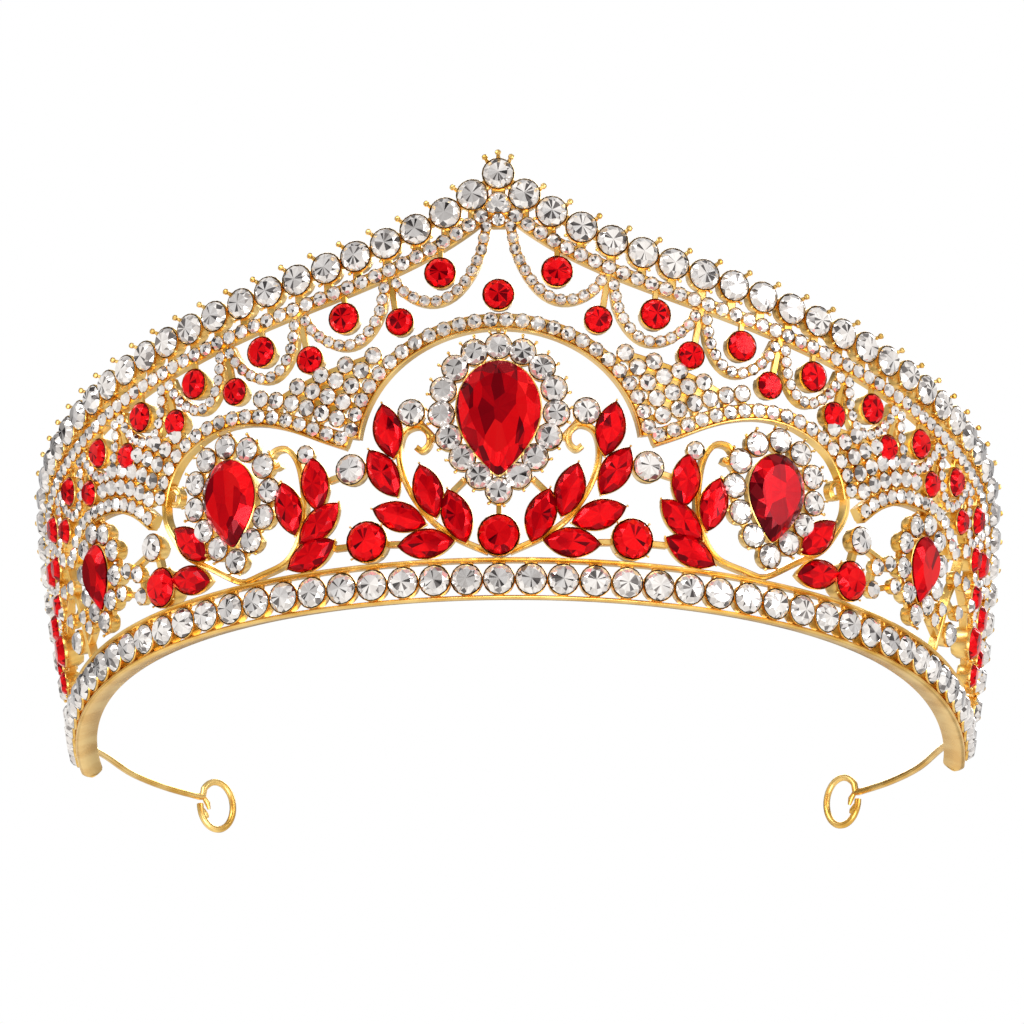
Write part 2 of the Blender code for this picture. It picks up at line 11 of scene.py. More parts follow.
import bpy
import numpy as np
from mathutils import Matrix, Vector


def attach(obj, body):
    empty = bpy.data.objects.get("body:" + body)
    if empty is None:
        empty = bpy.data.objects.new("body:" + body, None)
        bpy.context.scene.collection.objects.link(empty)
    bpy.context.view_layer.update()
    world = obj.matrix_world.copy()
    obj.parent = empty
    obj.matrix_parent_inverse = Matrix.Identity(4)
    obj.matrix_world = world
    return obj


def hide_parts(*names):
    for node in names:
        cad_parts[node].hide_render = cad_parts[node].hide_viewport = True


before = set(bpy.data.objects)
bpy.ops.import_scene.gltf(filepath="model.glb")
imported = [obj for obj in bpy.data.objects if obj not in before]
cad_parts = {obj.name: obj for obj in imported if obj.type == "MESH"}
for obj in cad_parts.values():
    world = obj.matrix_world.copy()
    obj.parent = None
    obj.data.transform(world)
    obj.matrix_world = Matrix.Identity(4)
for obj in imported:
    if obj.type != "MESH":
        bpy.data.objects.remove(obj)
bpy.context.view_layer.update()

MM = 0.001
TAU = 2 * math.pi
SIDES = ("right", "left")

# Wall and band
FLARE = math.radians(12.0)  # the wall leans outward by this much
BAND_BEND = (0.0114, 0.0246, -0.0436, 0.0175)  # curvature, 1/mm, by even powers of along / 100 mm
BAND_HALF = 126.0  # along the band, from its front to each end
WALL_END = 122.0  # where the openwork comes down to the band
BAND_HEIGHT = 6.2
RAIL_THICK = 0.45
FOOT_IN = 0.0  # the lower rail's flat foot reaches this far inward,
FOOT_OUT = 0.8  # this far outward,
FLANGE_IN = 2.8  # and its flange, which rises inward, this far inward
FLANGE_SLOPE = math.tan(math.radians(20.0))

# Crest line: its height at the front and its slope, the peak, and the fall at the ends
CREST_HEIGHT = 57.0
CREST_SLOPE = 0.168
PEAK_RISE = 10.2
PEAK_WIDTH = 11.0
SHOULDER_START = 88.0
SHOULDER_DROP = 27.5
SHOULDER_TURN = math.radians(70.0)

# Stones: diameters and pitches
BAND_STONE, BAND_PITCH = 4.75, 4.85
CREST_STONE, CREST_PITCH = 4.9, 5.15
PAVE_STONE, PAVE_PITCH = 2.3, 2.38
ARCH_STONE, ARCH_PITCH = 2.35, 2.45
SWAG_STONE, SWAG_PITCH = 1.8, 1.85
LATTICE_STONE = 2.72
SWAG_RUBY = 4.8
TIE_RUBY = 4.3
FOOT_RUBY = 6.3
MARQUISE = (8.8, 4.5)

# Heights up the wall at its front
BAND_MIDDLE = 3.05
FOOT_RUBY_UP = 9.9
DROP_RUBY_UP = 47.8
MEDALLION_STRUT = (12.0, 15.6)
MEDALLION_TIE = 39.5  # where the central arch holds the medallion's top
PEAK_STONES = ((4.6, 3.3), (7.4, 2.1))  # below the peak stone: depth and diameter

# How far each kind of setting stands out from the wall
BAND_OUT = 0.55
ROUND_OUT = 0.35
SMALL_OUT = 0.42
FOOT_RUBY_OUT = 0.4
HALO_OUT = 0.3
PEAR_CUP_OUT = 0.5
PEAR_OUT = 1.15
LEAF_OUT = 0.8
ROUND_FROM = 2.9  # a spray's clear stone above this diameter has a turned cup

# Garland: where its swags are tied, and how far below the crest each row hangs
SWAG_TIES = (0.9, 15.2, 28.6, 40.8, 52.0, 63.0, 74.5, 86.0, 97.0, 107.0, 116.0)
PAVE_DEPTH = 4.4
SWAG_DEPTH = 13.6
RUBY_DEPTH = 9.0
RUBY_SWAGS = 8
TIE_RUBY_DEPTH = 13.4
TIE_RUBY_SHIFT = 1.3
GARLAND_END = 120.0  # where the pave row stops

# Arches and lattices, as (along, up)
CENTRAL_ARCH = (0.0, 23.0, 22.2, 20.8)  # middle, springing height, half width, rise
CENTRAL_ARCH_FROM = math.radians(10.0)
SIDE_ARCH = ((22.2, 26.2), (26.0, 28.0), (30.5, 30.4), (34.8, 32.1), (39.2, 33.0), (44.0, 32.8),
             (48.4, 31.4), (52.0, 29.2), (54.6, 26.0), (55.8, 23.0))
END_ARCH = ((58.0, 21.0), (61.4, 24.3), (65.7, 26.6), (70.5, 27.6), (75.5, 27.8), (80.0, 26.6),
            (83.4, 23.6))
LATTICE_PITCH = 2.72
LATTICE_SIDE = 0.8  # the outer part of an arch, as a share of its reach
LATTICE_ROWS = {  # stones in each row, from the arch upward
    "inner": (6, 4, 3, 2, 1),
    "outer": (6, 5, 3, 2, 1),
}

# Medallions: along, up, stone length, stone width, halo stones, halo stone size
MEDALLIONS = {
    "center": (0.0, 28.2, 18.0, 13.0, 16, 4.15),
    "side": (42.0, 19.6, 14.0, 10.0, 12, 3.9),
    "end": (74.6, 17.2, 11.0, 8.0, 10, 3.6),
}

# Sprays: stems, leaves (along, up, lean in degrees), red rounds and clear rounds (along, up, diameter)
SPRAYS = {
    "center": {
        "stems": (((1.6, 7.4), (6.1, 9.5), (9.4, 11.9), (11.7, 14.7), (13.6, 18.3), (14.6, 22.1),
                   (14.5, 24.9), (13.6, 26.9), (11.7, 27.5), (10.3, 26.3), (10.2, 24.6), (11.2, 23.6),
                   (12.1, 24.2)),),
        "leaves": ((16.1, 27.0, 10), (17.0, 20.4, 29), (14.8, 13.4, 70), (10.9, 8.9, 92), (10.4, 17.1, 16),
                   (6.2, 13.0, 18)),
        "rubies": ((19.9, 9.9, FOOT_RUBY),),
        "clears": ((12.6, 29.6, 4.2),),
        "links": (((14.6, 9.2), (17.6, 9.4)), ((13.9, 19.2), (16.2, 21.5)), ((9.2, 25.2), (12.2, 29.0)),
                  ((4.9, 18.9), (7.4, 16.4))),
    },
    "side": {
        "stems": (((40.7, 6.8), (38.2, 7.3), (33.5, 8.6), (30.9, 12.0), (29.8, 16.3), (29.9, 21.5),
                   (30.6, 24.6), (32.0, 26.4), (33.9, 26.5), (34.9, 25.2), (34.3, 23.9), (33.2, 24.2)),),
        "leaves": ((32.1, 16.8, 11), (27.6, 20.0, 5), (27.3, 13.7, -51), (28.9, 9.0, -68)),
        "rubies": (),
        "clears": ((21.9, 21.5, 4.8), (28.8, 24.9, 2.9)),
        "links": (((22.6, 9.6), (25.4, 9.6)), ((23.8, 20.8), (26.0, 20.3)), ((28.2, 23.0), (28.8, 24.9))),
    },
    "end": {
        "stems": (((40.7, 6.8), (42.6, 7.4), (47.0, 10.3), (51.5, 13.3), (53.8, 16.7), (55.2, 19.7),
                   (55.3, 22.4), (54.4, 24.6), (52.9, 25.0), (51.9, 23.8), (52.4, 22.4), (53.4, 22.5)),),
        "leaves": ((50.2, 15.1, 43), (51.0, 9.4, 75)),
        "rubies": ((57.3, 9.9, FOOT_RUBY),),
        "clears": ((58.6, 16.9, 4.4), (62.9, 13.8, 2.8), (65.7, 15.2, 2.6), (62.6, 10.0, 2.8),
                   (67.7, 12.1, 2.6)),
        "links": (((53.8, 9.6), (56.0, 9.6)), ((57.8, 12.0), (58.6, 16.9)), ((57.3, 9.6), (62.6, 10.0)),
                  ((60.2, 16.4), (65.7, 15.2)), ((62.6, 10.0), (62.9, 13.8)), ((62.6, 10.0), (67.7, 12.1))),
    },
}
END_PANEL = {
    "stems": (((84.0, 7.0), (85.2, 12.0), (86.0, 16.5), (88.0, 20.5), (89.0, 24.0)),),
    "clears": ((86.5, 20.0, 2.6), (90.9, 20.9, 2.6), (88.5, 25.7, 2.6), (84.2, 23.8, 2.6), (82.9, 13.4, 2.4),
               (80.8, 10.9, 2.4), (89.8, 15.3, 2.6), (95.7, 19.0, 2.6), (87.7, 10.8, 4.0)),
    "rubies": ((100.6, 14.2, 5.6), (106.0, 10.4, 4.2), (110.6, 15.0, 3.6)),
    "links": (((88.0, 20.5), (91.4, 20.6), (95.6, 18.6), (100.6, 14.2), (106.0, 10.6), (110.6, 15.0)),
              ((86.0, 16.0), (90.0, 15.3)), ((84.8, 10.8), (88.0, 10.8)),
              ((82.9, 13.4), (80.8, 10.9), (84.6, 9.4))),
}

# Back wires: a stem as (past the wall's end, inward, up), then an upright eye
WIRE_STEM = ((-7.0, 1.4, 1.95), (2.0, 3.4, 3.3), (13.0, 6.8, 3.9), (23.5, 11.8, 4.9), (33.0, 17.6, 6.2))
WIRE_RADIUS = 0.62
EYE_TURN = math.radians(54.0)
EYE_WIDTH = 7.0
EYE_TALL = 9.0
EYE_CLEAR = 0.1
EYE_FROM = math.radians(150.0)
EYE_TO = math.radians(-176.0)
EYE_STEPS = 48
WIRE_TIPS = (  # in shares of the eye's half width and half height, and the radius at each point
    (((-0.78, 0.22), (-0.56, 0.02), (-0.44, -0.22)), (0.45, 0.55, 0.30)),
    (((-0.86, -0.28), (-0.62, -0.50), (-0.50, -0.60)), (0.45, 0.60, 0.30)),
)

# Studio floor, in metres
FLOOR_WIDTH = 3.0
FLOOR_CLEAR = 0.0002

# Camera: the point aimed at, in millimetres, and the view
AIM = (1.90, -0.62, 14.22)
CAMERA_DISTANCE = 550.0
CAMERA_YAW = math.radians(2.64)
CAMERA_ELEVATION = math.radians(-23.08)
CAMERA_ROLL = math.radians(-0.44)
CAMERA_LENS = 125.7


# ---------------------------------------------------------------- the wall


def band_tables():
    """Plan position and heading of the band at small steps along it."""
    along = np.linspace(0.0, 150.0, 1201)
    bend = sum(value * (along / 100.0) ** (2 * power) for power, value in enumerate(BAND_BEND))
    step = along[1]
    heading = np.concatenate([[0.0], np.cumsum((bend[1:] + bend[:-1]) / 2 * step)])
    across, back = (
        np.concatenate([[0.0], np.cumsum((part[1:] + part[:-1]) / 2 * step)])
        for part in (np.cos(heading), np.sin(heading))
    )
    return along, bend, heading, across, back


ALONG, BEND, HEADING, ACROSS, BACK = band_tables()


def wall(along, flare=FLARE):
    """Foot of the wall, and its directions along, up and out."""
    side = -1.0 if along < 0 else 1.0
    distance = abs(along)
    turn = float(np.interp(distance, ALONG, HEADING)) * side
    foot = np.array([np.interp(distance, ALONG, ACROSS) * side, np.interp(distance, ALONG, BACK), 0.0])
    away = np.array([math.sin(turn), -math.cos(turn), 0.0])
    level = np.array([0.0, 0.0, 1.0])
    up = level * math.cos(flare) + away * math.sin(flare)
    out = away * math.cos(flare) - level * math.sin(flare)
    return foot, np.array([math.cos(turn), math.sin(turn), 0.0]), up, out


def place(along, up, out=0.0, flare=FLARE):
    foot, _, upward, outward = wall(along, flare)
    return foot + upward * up + outward * out


def spot(along, up, out=0.0, turn=0.0):
    """A seat on the wall: its middle, and its own right, up and out."""
    foot, right, upward, outward = wall(along)
    c, s = math.cos(turn), math.sin(turn)
    return foot + upward * up + outward * out, right * c + upward * s, upward * c - right * s, outward


def stretch(along, up):
    """How much longer the flared wall is at this height than at its foot."""
    return 1.0 + up * math.sin(FLARE) * float(np.interp(abs(along), ALONG, BEND))


def crest(along):
    height = CREST_HEIGHT - CREST_SLOPE * along + PEAK_RISE * math.exp(-along / PEAK_WIDTH)
    past = max(0.0, (along - SHOULDER_START) / (WALL_END - SHOULDER_START))
    return height - SHOULDER_DROP * past**2


def hang(along, depth):
    """The point this far below the crest: straight down, and turned inward round the shoulder."""
    past = min(1.0, max(0.0, (along - SHOULDER_START) / (WALL_END - SHOULDER_START)))
    turn = SHOULDER_TURN * past * past * (3 - 2 * past)
    return along - depth * math.sin(turn), crest(along) - depth * math.cos(turn)


def smooth(points, steps=3):
    """A smooth curve through the points."""
    ends = [points[0], *points, points[-1]]
    run = []
    for a, b, c, d in zip(ends, ends[1:], ends[2:], ends[3:]):
        for index in range(steps):
            t = index / steps
            weights = (-t + 2 * t * t - t**3, 2 - 5 * t * t + 3 * t**3,
                       t + 4 * t * t - 3 * t**3, t**3 - t * t)
            run.append(tuple(sum(w * p[axis] for w, p in zip(weights, (a, b, c, d))) / 2
                             for axis in range(len(a))))
    return [*run, tuple(points[-1])]


def real_steps(points):
    """Real distance from the first point of a pattern line to each of its points."""
    gone = [0.0]
    for (a, b), (c, d) in zip(points, points[1:]):
        gone.append(gone[-1] + math.hypot((c - a) * stretch((a + c) / 2, (b + d) / 2), d - b))
    return gone


def spaced(points, pitch, start=0.5, closed_count=None):
    """Seats an equal distance apart on a pattern line, with the heading of the line at each."""
    gone = real_steps(points)
    count = closed_count or max(1, round(gone[-1] / pitch))
    seats = []
    for index in range(count):
        want = (index + start) * gone[-1] / count
        at = min(max(1, int(np.searchsorted(gone, want))), len(points) - 1)
        share = (want - gone[at - 1]) / max(1e-9, gone[at] - gone[at - 1])
        (a, b), (c, d) = points[at - 1], points[at]
        seats.append((a + (c - a) * share, b + (d - b) * share, math.atan2(d - b, c - a)))
    return seats


# ---------------------------------------------------------------- solids


class Work:
    """Solids gathered into one piece of the model, with a number for each face."""

    def __init__(self):
        self.points, self.faces, self.marks, self.count = [], [], [], 0

    def add(self, points, faces, marks=0.0):
        base = self.count
        self.points.extend(tuple(point) for point in points)
        self.faces.extend(tuple(base + corner for corner in face) for face in faces)
        self.marks.extend(marks if isinstance(marks, (list, tuple)) else [marks] * len(faces))
        self.count += len(points)

    def stamp(self, shape, seat, size=1.0, marks=None):
        points, faces, own = shape
        origin, right, upward, outward = seat
        moved = origin + (points * size) @ np.array([right, upward, outward])
        self.add(moved, faces, own if marks is None else marks)

    def mirrored(self):
        """The same work on the crown's other side."""
        other = Work()
        other.points = [(-x, y, z) for x, y, z in self.points]
        other.faces = [face[::-1] for face in self.faces]
        other.marks, other.count = list(self.marks), self.count
        return other

    def on(self, side):
        """The work as made for the right, or mirrored for the left."""
        return self if side == "right" else self.mirrored()


def between(rings, capped=True, marks=None):
    """Walls between rings of equal size, with a cap on each end."""
    sides = len(rings[0])
    points = [corner for ring in rings for corner in ring]
    faces = []
    tags = []
    for row in range(len(rings) - 1):
        for a in range(sides):
            b = (a + 1) % sides
            faces.append((row * sides + a, row * sides + b, (row + 1) * sides + b, (row + 1) * sides + a))
            tags.append(marks[row] if marks else 0.0)
    if capped:
        faces.append(tuple(range(sides))[::-1])
        faces.append(tuple(range(len(points) - sides, len(points))))
        tags += [marks[0] if marks else 0.0, marks[-1] if marks else 0.0]
    return np.array(points, float), faces, tags


def circle(radius, sides, shift=0.0):
    return [(radius * math.cos(TAU * (i + shift) / sides), radius * math.sin(TAU * (i + shift) / sides))
            for i in range(sides)]


def round_curve(t):
    return math.cos(t), math.sin(t)


PEAR_HALF = 1.385  # half the height of the pear's outline, where half its width is 1
MARQUISE_HALF = 2.0  # the same for a leaf


def pear_curve(t):
    """An oval that tapers below its shoulder."""
    rise = math.sin(t)
    return math.cos(t) * (1.05 - 0.1535 * max(0.0, 0.75 - rise) ** 2.65), rise * PEAR_HALF


def marquise_curve(t):
    """A leaf bounded by two arcs."""
    y = MARQUISE_HALF * math.asin(math.sin(t)) / (math.pi / 2)
    arc = math.sqrt(6.25 - y * y) - 1.5
    return math.copysign(0.85 * arc + 0.15 * abs(math.cos(t)), math.cos(t)), y


def ring_of(curve, count, size, height, shift=0.0, middle=(0.0, 0.0), start=0.0):
    ring = []
    for index in range(count):
        x, y = curve(start + TAU * (index + shift) / count)
        ring.append(((middle[0] + (x - middle[0]) * size), (middle[1] + (y - middle[1]) * size), height))
    return ring


def brilliant(curve, mains, table=0.60, crown=0.42, depth=0.35, middle=(0.0, 0.0), start=0.0, core=0.24,
              dome=0.04):
    """A brilliant cut on any outline: table, stars, kites, girdle and pavilion, with its kinds of facet."""
    rings = (
        ring_of(curve, 2 * mains, 1.0, 0.0, 0.0, middle, start),
        ring_of(curve, mains, 0.86, crown * 0.55, 0.0, middle, start),
        ring_of(curve, mains, table, crown, 0.5, middle, start),
        ring_of(curve, mains, table * 0.985, crown, 0.0, middle, start),
        ring_of(curve, 2 * mains, table * core / 0.6, crown * (1 + dome), 0.0, middle, start),
        ring_of(curve, 2 * mains, 0.97, -0.08, 0.0, middle, start),
    )
    points = [corner for ring in rings for corner in ring]
    points += [(*middle, crown * (1 + dome * 1.25)), (*middle, -depth)]
    # Where each ring begins among the points, and the middle of the table
    girdle, waist, top, half, inner, below, centre = (mains * share for share in (0, 2, 3, 4, 5, 7, 9))
    faces, kinds = [], []
    for k in range(mains):
        after = (k + 1) % mains
        near, between_them, far = 2 * k, 2 * k + 1, 2 * after
        faces += [
            (girdle + near, girdle + between_them, waist + k),
            (girdle + between_them, girdle + far, waist + after),
            (girdle + between_them, waist + after, top + k, waist + k),
            (waist + k, half + k, top + (k - 1) % mains),
            (waist + k, top + k, half + k),
            (half + k, top + k, inner + between_them, inner + near),
            (top + k, half + after, inner + far, inner + between_them),
            (inner + near, inner + between_them, centre),
            (inner + between_them, inner + far, centre),
        ]
        kinds += ["girdle", "girdle", "kite", "star", "star", "wedge", "wedge", "core", "core"]
    for a in range(2 * mains):
        c = (a + 1) % (2 * mains)
        faces += [(below + a, below + c, girdle + c, girdle + a), (below + c, below + a, centre + 1)]
        kinds += ["edge", "back"]
    return np.array(points, float), faces, kinds


def chaton(mains, table=0.6, crown=0.5, depth=0.3):
    """A small round stone: table wedges, crown facets and back, fewer than on a big one."""
    top = ring_of(round_curve, mains, table, crown, 0.5)
    girdle = ring_of(round_curve, mains, 1.0, 0.0, 0.5)
    below = ring_of(round_curve, mains, 0.97, -0.1, 0.5)
    points = top + girdle + below + [(0.0, 0.0, crown * 1.06), (0.0, 0.0, -depth)]
    faces, kinds = [], []
    for a in range(mains):
        c = (a + 1) % mains
        faces += [
            (a, c, 3 * mains),
            (mains + a, mains + c, c, a),
            (2 * mains + a, 2 * mains + c, mains + c, mains + a),
            (2 * mains + c, 2 * mains + a, 3 * mains + 1),
        ]
        kinds += ["wedge", "kite", "edge", "back"]
    return np.array(points, float), faces, kinds


def uneven_round(phase):
    """The round outline with rays of unequal width."""
    return lambda t: round_curve(t + 0.13 * math.sin(3 * t + phase) + 0.07 * math.sin(8 * t + 2 * phase))


ROUND_STONES = [brilliant(uneven_round(phase), 11, table=0.64, crown=0.40, core=0.14)
                for phase in (0.3, 1.7, 3.9, 5.2)]
SMALL_STONE = chaton(8)
PEAR_STONE = brilliant(pear_curve, 14, table=0.70, crown=0.28, depth=0.4, middle=(0.0, 0.18),
                       start=-math.pi / 2, core=0.3, dome=0.0)
LEAF_STONE = brilliant(marquise_curve, 8, table=0.62, crown=0.42, depth=0.3, start=-math.pi / 2, core=0.2)

# The darkest and the lightest tone of each kind of facet, as painted reflections, with the girdle's edge and
# the back kept low as painted shade
CLEAR_REFLECTIONS = {"girdle": (0.4, 1.0), "kite": (0.5, 1.0), "star": (0.45, 1.0), "wedge": (0.6, 1.0),
               "core": (0.8, 1.0), "edge": (0.25, 0.5), "back": (0.2, 0.4)}
PEAR_REFLECTIONS = {"girdle": (0.1, 0.6), "kite": (0.2, 0.75), "star": (0.2, 0.8), "wedge": (0.5, 0.62),
              "core": (0.5, 0.62), "edge": (0.1, 0.3), "back": (0.05, 0.2)}
LEAF_REFLECTIONS = {"girdle": (0.15, 0.5), "kite": (0.3, 0.7), "star": (0.4, 0.85), "wedge": (0.45, 0.9),
              "core": (0.6, 0.95), "edge": (0.1, 0.3), "back": (0.05, 0.2)}
BRIGHT_RED_REFLECTIONS = {"girdle": (0.3, 0.7), "kite": (0.6, 0.95), "star": (0.6, 0.95), "wedge": (0.65, 0.95),
                    "core": (0.75, 0.95), "edge": (0.1, 0.3), "back": (0.05, 0.2)}
# Share of the facets that look through to the dark, painted dark as painted reflections
DARK_WEDGES = 0.24
DARK_CROWN = 0.16


def tones(kinds, palette, chance, dark_wedges=DARK_WEDGES, dark_crown=DARK_CROWN):
    """A painted reflection tone for each facet: each ray from the middle keeps its own, and some rays are
    painted dark.
    """
    marks, rays = [], []
    for kind in kinds:
        low, high = palette[kind]
        tone = chance.uniform(low, high)
        if kind == "wedge":
            if chance.random() < dark_wedges:
                tone = chance.uniform(0.0, 0.3)
            rays = (rays + [tone])[-2:]
        elif kind == "core" and rays:
            tone = 0.75 * rays.pop(0) + 0.25 * tone
        elif kind in ("girdle", "kite", "star") and chance.random() < dark_crown:
            tone = chance.uniform(0.05, 0.35)
        marks.append(tone)
    return marks


def cup_shape(curve, sides, wall_out=1.05, deep=1.0, lip=0.24, start=0.0):
    """A closed setting for a stone of half width 1: a dished back, a wall, a rolled lip and a seat with
    painted shade.
    """
    profile = ((0.35, -deep), (0.80, -deep * 0.94), (1.0, -deep * 0.62), (wall_out, 0.0),
               (wall_out + 0.01, lip * 0.7), (wall_out - 0.02, lip), (wall_out - 0.045, lip * 0.86),
               (0.985, lip * 0.1), (0.88, -0.10))
    # painted shade: 1.0 on the seat's inner wall and floor, 0.15 on the lip's inner edge
    marks = (0.0, 0.0, 0.0, 0.0, 0.0, 0.15, 1.0, 1.0)
    rings = []
    for scale, height in profile:
        extra = scale - 1.0
        ring = []
        for index in range(sides):
            x, y = curve(start + TAU * index / sides)
            length = max(1e-6, math.hypot(x, y))
            if scale < 0.9:
                ring.append((x * scale, y * scale, height))
            else:
                ring.append((x * (1 + extra / length), y * (1 + extra / length), height))
        rings.append(ring)
    return between(rings, marks=marks)


CUP = cup_shape(round_curve, 20)
SMALL_CUP = cup_shape(round_curve, 12, wall_out=1.06, deep=0.9, lip=0.34)
PEAR_CUP = cup_shape(pear_curve, 36, wall_out=1.03, deep=0.42, lip=0.08, start=-math.pi / 2)
LEAF_CUP = cup_shape(marquise_curve, 28, wall_out=1.07, deep=0.55, lip=0.24, start=-math.pi / 2)


def tube(route, radius, sides=8, capped=True):
    """A round wire along points in space; radius may be a list."""
    route = [np.array(point, float) for point in route]
    rings = []
    reference = None
    for index, point in enumerate(route):
        run = route[min(index + 1, len(route) - 1)] - route[max(index - 1, 0)]
        run = run / np.linalg.norm(run)
        if reference is None:
            reference = np.array([0.0, 0.0, 1.0]) if abs(run[2]) < 0.9 else np.array([1.0, 0.0, 0.0])
        a = np.cross(run, reference)
        a = a / np.linalg.norm(a)
        b = np.cross(run, a)
        reference = -b
        r = radius[index] if isinstance(radius, (list, tuple)) else radius
        rings.append([point + a * r * math.cos(TAU * k / sides) + b * r * math.sin(TAU * k / sides)
                      for k in range(sides)])
    return between(rings, capped)


def bar(points, section, out=0.0):
    """A bar along a pattern line; section gives its (across, out) corners, anticlockwise from the end."""
    rings = []
    for index, point in enumerate(points):
        before = points[max(index - 1, 0)]
        after = points[min(index + 1, len(points) - 1)]
        scale = stretch(*point[:2])
        dx, dy = (after[0] - before[0]) * scale, after[1] - before[1]
        length = math.hypot(dx, dy)
        dx, dy = dx / length, dy / length
        rings.append([place(point[0] - dy * across / scale, point[1] + dx * across, out + off)
                      for across, off in section])
    return between(rings)


def rounded_section(width, back, front, round_off=0.2):
    half = width / 2
    return [(half, back + round_off), (half - round_off, back), (-half + round_off, back),
            (-half, back + round_off), (-half, front - round_off), (-half + round_off, front),
            (half - round_off, front), (half, front - round_off)]


def ridged_section(width, back, front, dip=0.22):
    """A strip with a ridge along each edge."""
    half = width / 2
    return [(half, back), (-half, back), (-half, front - 0.12), (-half * 0.72, front),
            (-half * 0.36, front - dip * 0.4), (0.0, front - dip), (half * 0.36, front - dip * 0.4),
            (half * 0.72, front), (half, front - 0.12)]


# A claw, as (radius, height): a tapered shank and a ball
PRONG_PROFILE = ((0.28, -0.9), (0.26, -0.2), (0.20, 0.25), (0.17, 0.45), (0.26, 0.55), (0.33, 0.72),
                 (0.28, 0.90), (0.12, 1.0))


def prong_shape(sides=8):
    return between([[(*corner, height) for corner in circle(radius, sides)]
                    for radius, height in PRONG_PROFILE])


PRONG = prong_shape()


def add_prong(work, seat, angle, reach, size=1.0, lean=0.55, lift=0.2):
    """A claw beside a stone, leaning outward, with a ball for its tip."""
    origin, right, upward, outward = seat
    away = right * math.cos(angle) + upward * math.sin(angle)
    axis = outward * math.cos(lean) + away * math.sin(lean)
    side = np.cross(axis, away)
    side = side / np.linalg.norm(side)
    other = np.cross(axis, side)
    work.stamp(PRONG, (origin + away * reach + outward * lift, side, other, axis), size)


# ---------------------------------------------------------------- materials


class Socket:
    """A shader socket that takes Python arithmetic."""

    def __init__(self, paint, link):
        self.paint, self.link = paint, link

    def _with(self, operation, first, second):
        return self.paint.node("ShaderNodeMath", {"operation": operation}, {0: first, 1: second})

    def __add__(self, other):
        return self._with("ADD", self, other)

    __radd__ = __add__

    def __mul__(self, other):
        return self._with("MULTIPLY", self, other)

    __rmul__ = __mul__

    def __sub__(self, other):
        return self._with("SUBTRACT", self, other)


class Paint:
    """A material, or the world, written with one call for each node."""

    def __init__(self, name, world=None):
        self.home = world or bpy.data.materials.new(name)
        self.home.use_nodes = True
        self.tree = self.home.node_tree
        self.tree.nodes.clear()

    def node(self, kind, settings=None, inputs=None, out=0):
        made = self.tree.nodes.new(kind)
        for key, value in (settings or {}).items():
            setattr(made, key, value)
        for key, value in (inputs or {}).items():
            if isinstance(value, Socket):
                self.tree.links.new(value.link, made.inputs[key])
            else:
                made.inputs[key].default_value = value
        return Socket(self, made.outputs[out]) if made.outputs else None

    def ramp(self, share, *stops):
        """Colours by share, each stop a (share, colour)."""
        made = self.node("ShaderNodeValToRGB", {}, {"Fac": share})
        elements = made.link.node.color_ramp.elements
        while len(elements) > 1:
            elements.remove(elements[-1])
        elements[0].position, elements[0].color = stops[0][0], (*stops[0][1], 1.0)
        for position, color in stops[1:]:
            elements.new(position).color = (*color, 1.0)
        return made

    def mix(self, share, first, second):
        return self.node("ShaderNodeMix", {"data_type": "RGBA"}, {0: share, 6: first, 7: second}, out=2)

    # the painted tone of each face: painted shade in the gold's seats, painted reflections on the stones'
    # facets
    def mark(self):
        return self.node("ShaderNodeAttribute", {"attribute_name": "mark"}, out=2)

    def where(self):
        return self.node("ShaderNodeTexCoord", out=3)

    def surface(self, **inputs):
        named = {key.replace("_", " "): value for key, value in inputs.items()}
        shader = self.node("ShaderNodeBsdfPrincipled", {}, named)
        self.node("ShaderNodeOutputMaterial", {}, {"Surface": shader})
        return self.home


def noise(paint, where, scale, detail=2.0, roughness=0.5):
    return paint.node("ShaderNodeTexNoise", {}, {"Vector": where, "Scale": scale, "Detail": detail,
                                                 "Roughness": roughness})


def gold_plate():
    """Warm plated gold in its own colour on its edges, with painted shade in dark brown in its seats, and the
    skin of a casting.
    """
    paint = Paint("gold_plate")
    where = paint.where()
    seat = paint.mark()
    cloud = noise(paint, where, 180.0)
    grain = noise(paint, where, 1600.0, 3.0)
    tint = paint.ramp(cloud, (0.35, (0.74, 0.42, 0.08)), (0.65, (0.92, 0.64, 0.23)))
    # painted shade: the seats are mixed towards dark brown
    color = paint.mix(seat * 0.86, tint, (0.07, 0.025, 0.005, 1.0))
    bump = paint.node("ShaderNodeBump", {}, {"Strength": 0.22, "Distance": 0.00012, "Height": grain})
    roughness = 0.20 + 0.16 * cloud + 0.25 * seat
    return paint.surface(Base_Color=color, Metallic=1.0, Roughness=roughness, Normal=bump)


def clear_glass():
    """Foil-backed clear glass: each facet keeps its own tone, a painted reflection from black to white."""
    paint = Paint("clear_glass")
    where = paint.where()
    cloud = noise(paint, where, 420.0, 1.0)
    tone = paint.mark() + 0.10 * (cloud - 0.5)
    # painted reflections: a facet's tone runs from black through greys to near white
    color = paint.ramp(tone, (0.0, (0.035, 0.03, 0.03)), (0.25, (0.20, 0.18, 0.175)),
                       (0.55, (0.72, 0.68, 0.655)), (1.0, (1.0, 0.975, 0.955)))
    return paint.surface(Base_Color=color, Metallic=0.55, Roughness=0.07 + 0.04 * cloud, IOR=1.56,
                         Coat_Weight=0.6, Coat_Roughness=0.02)


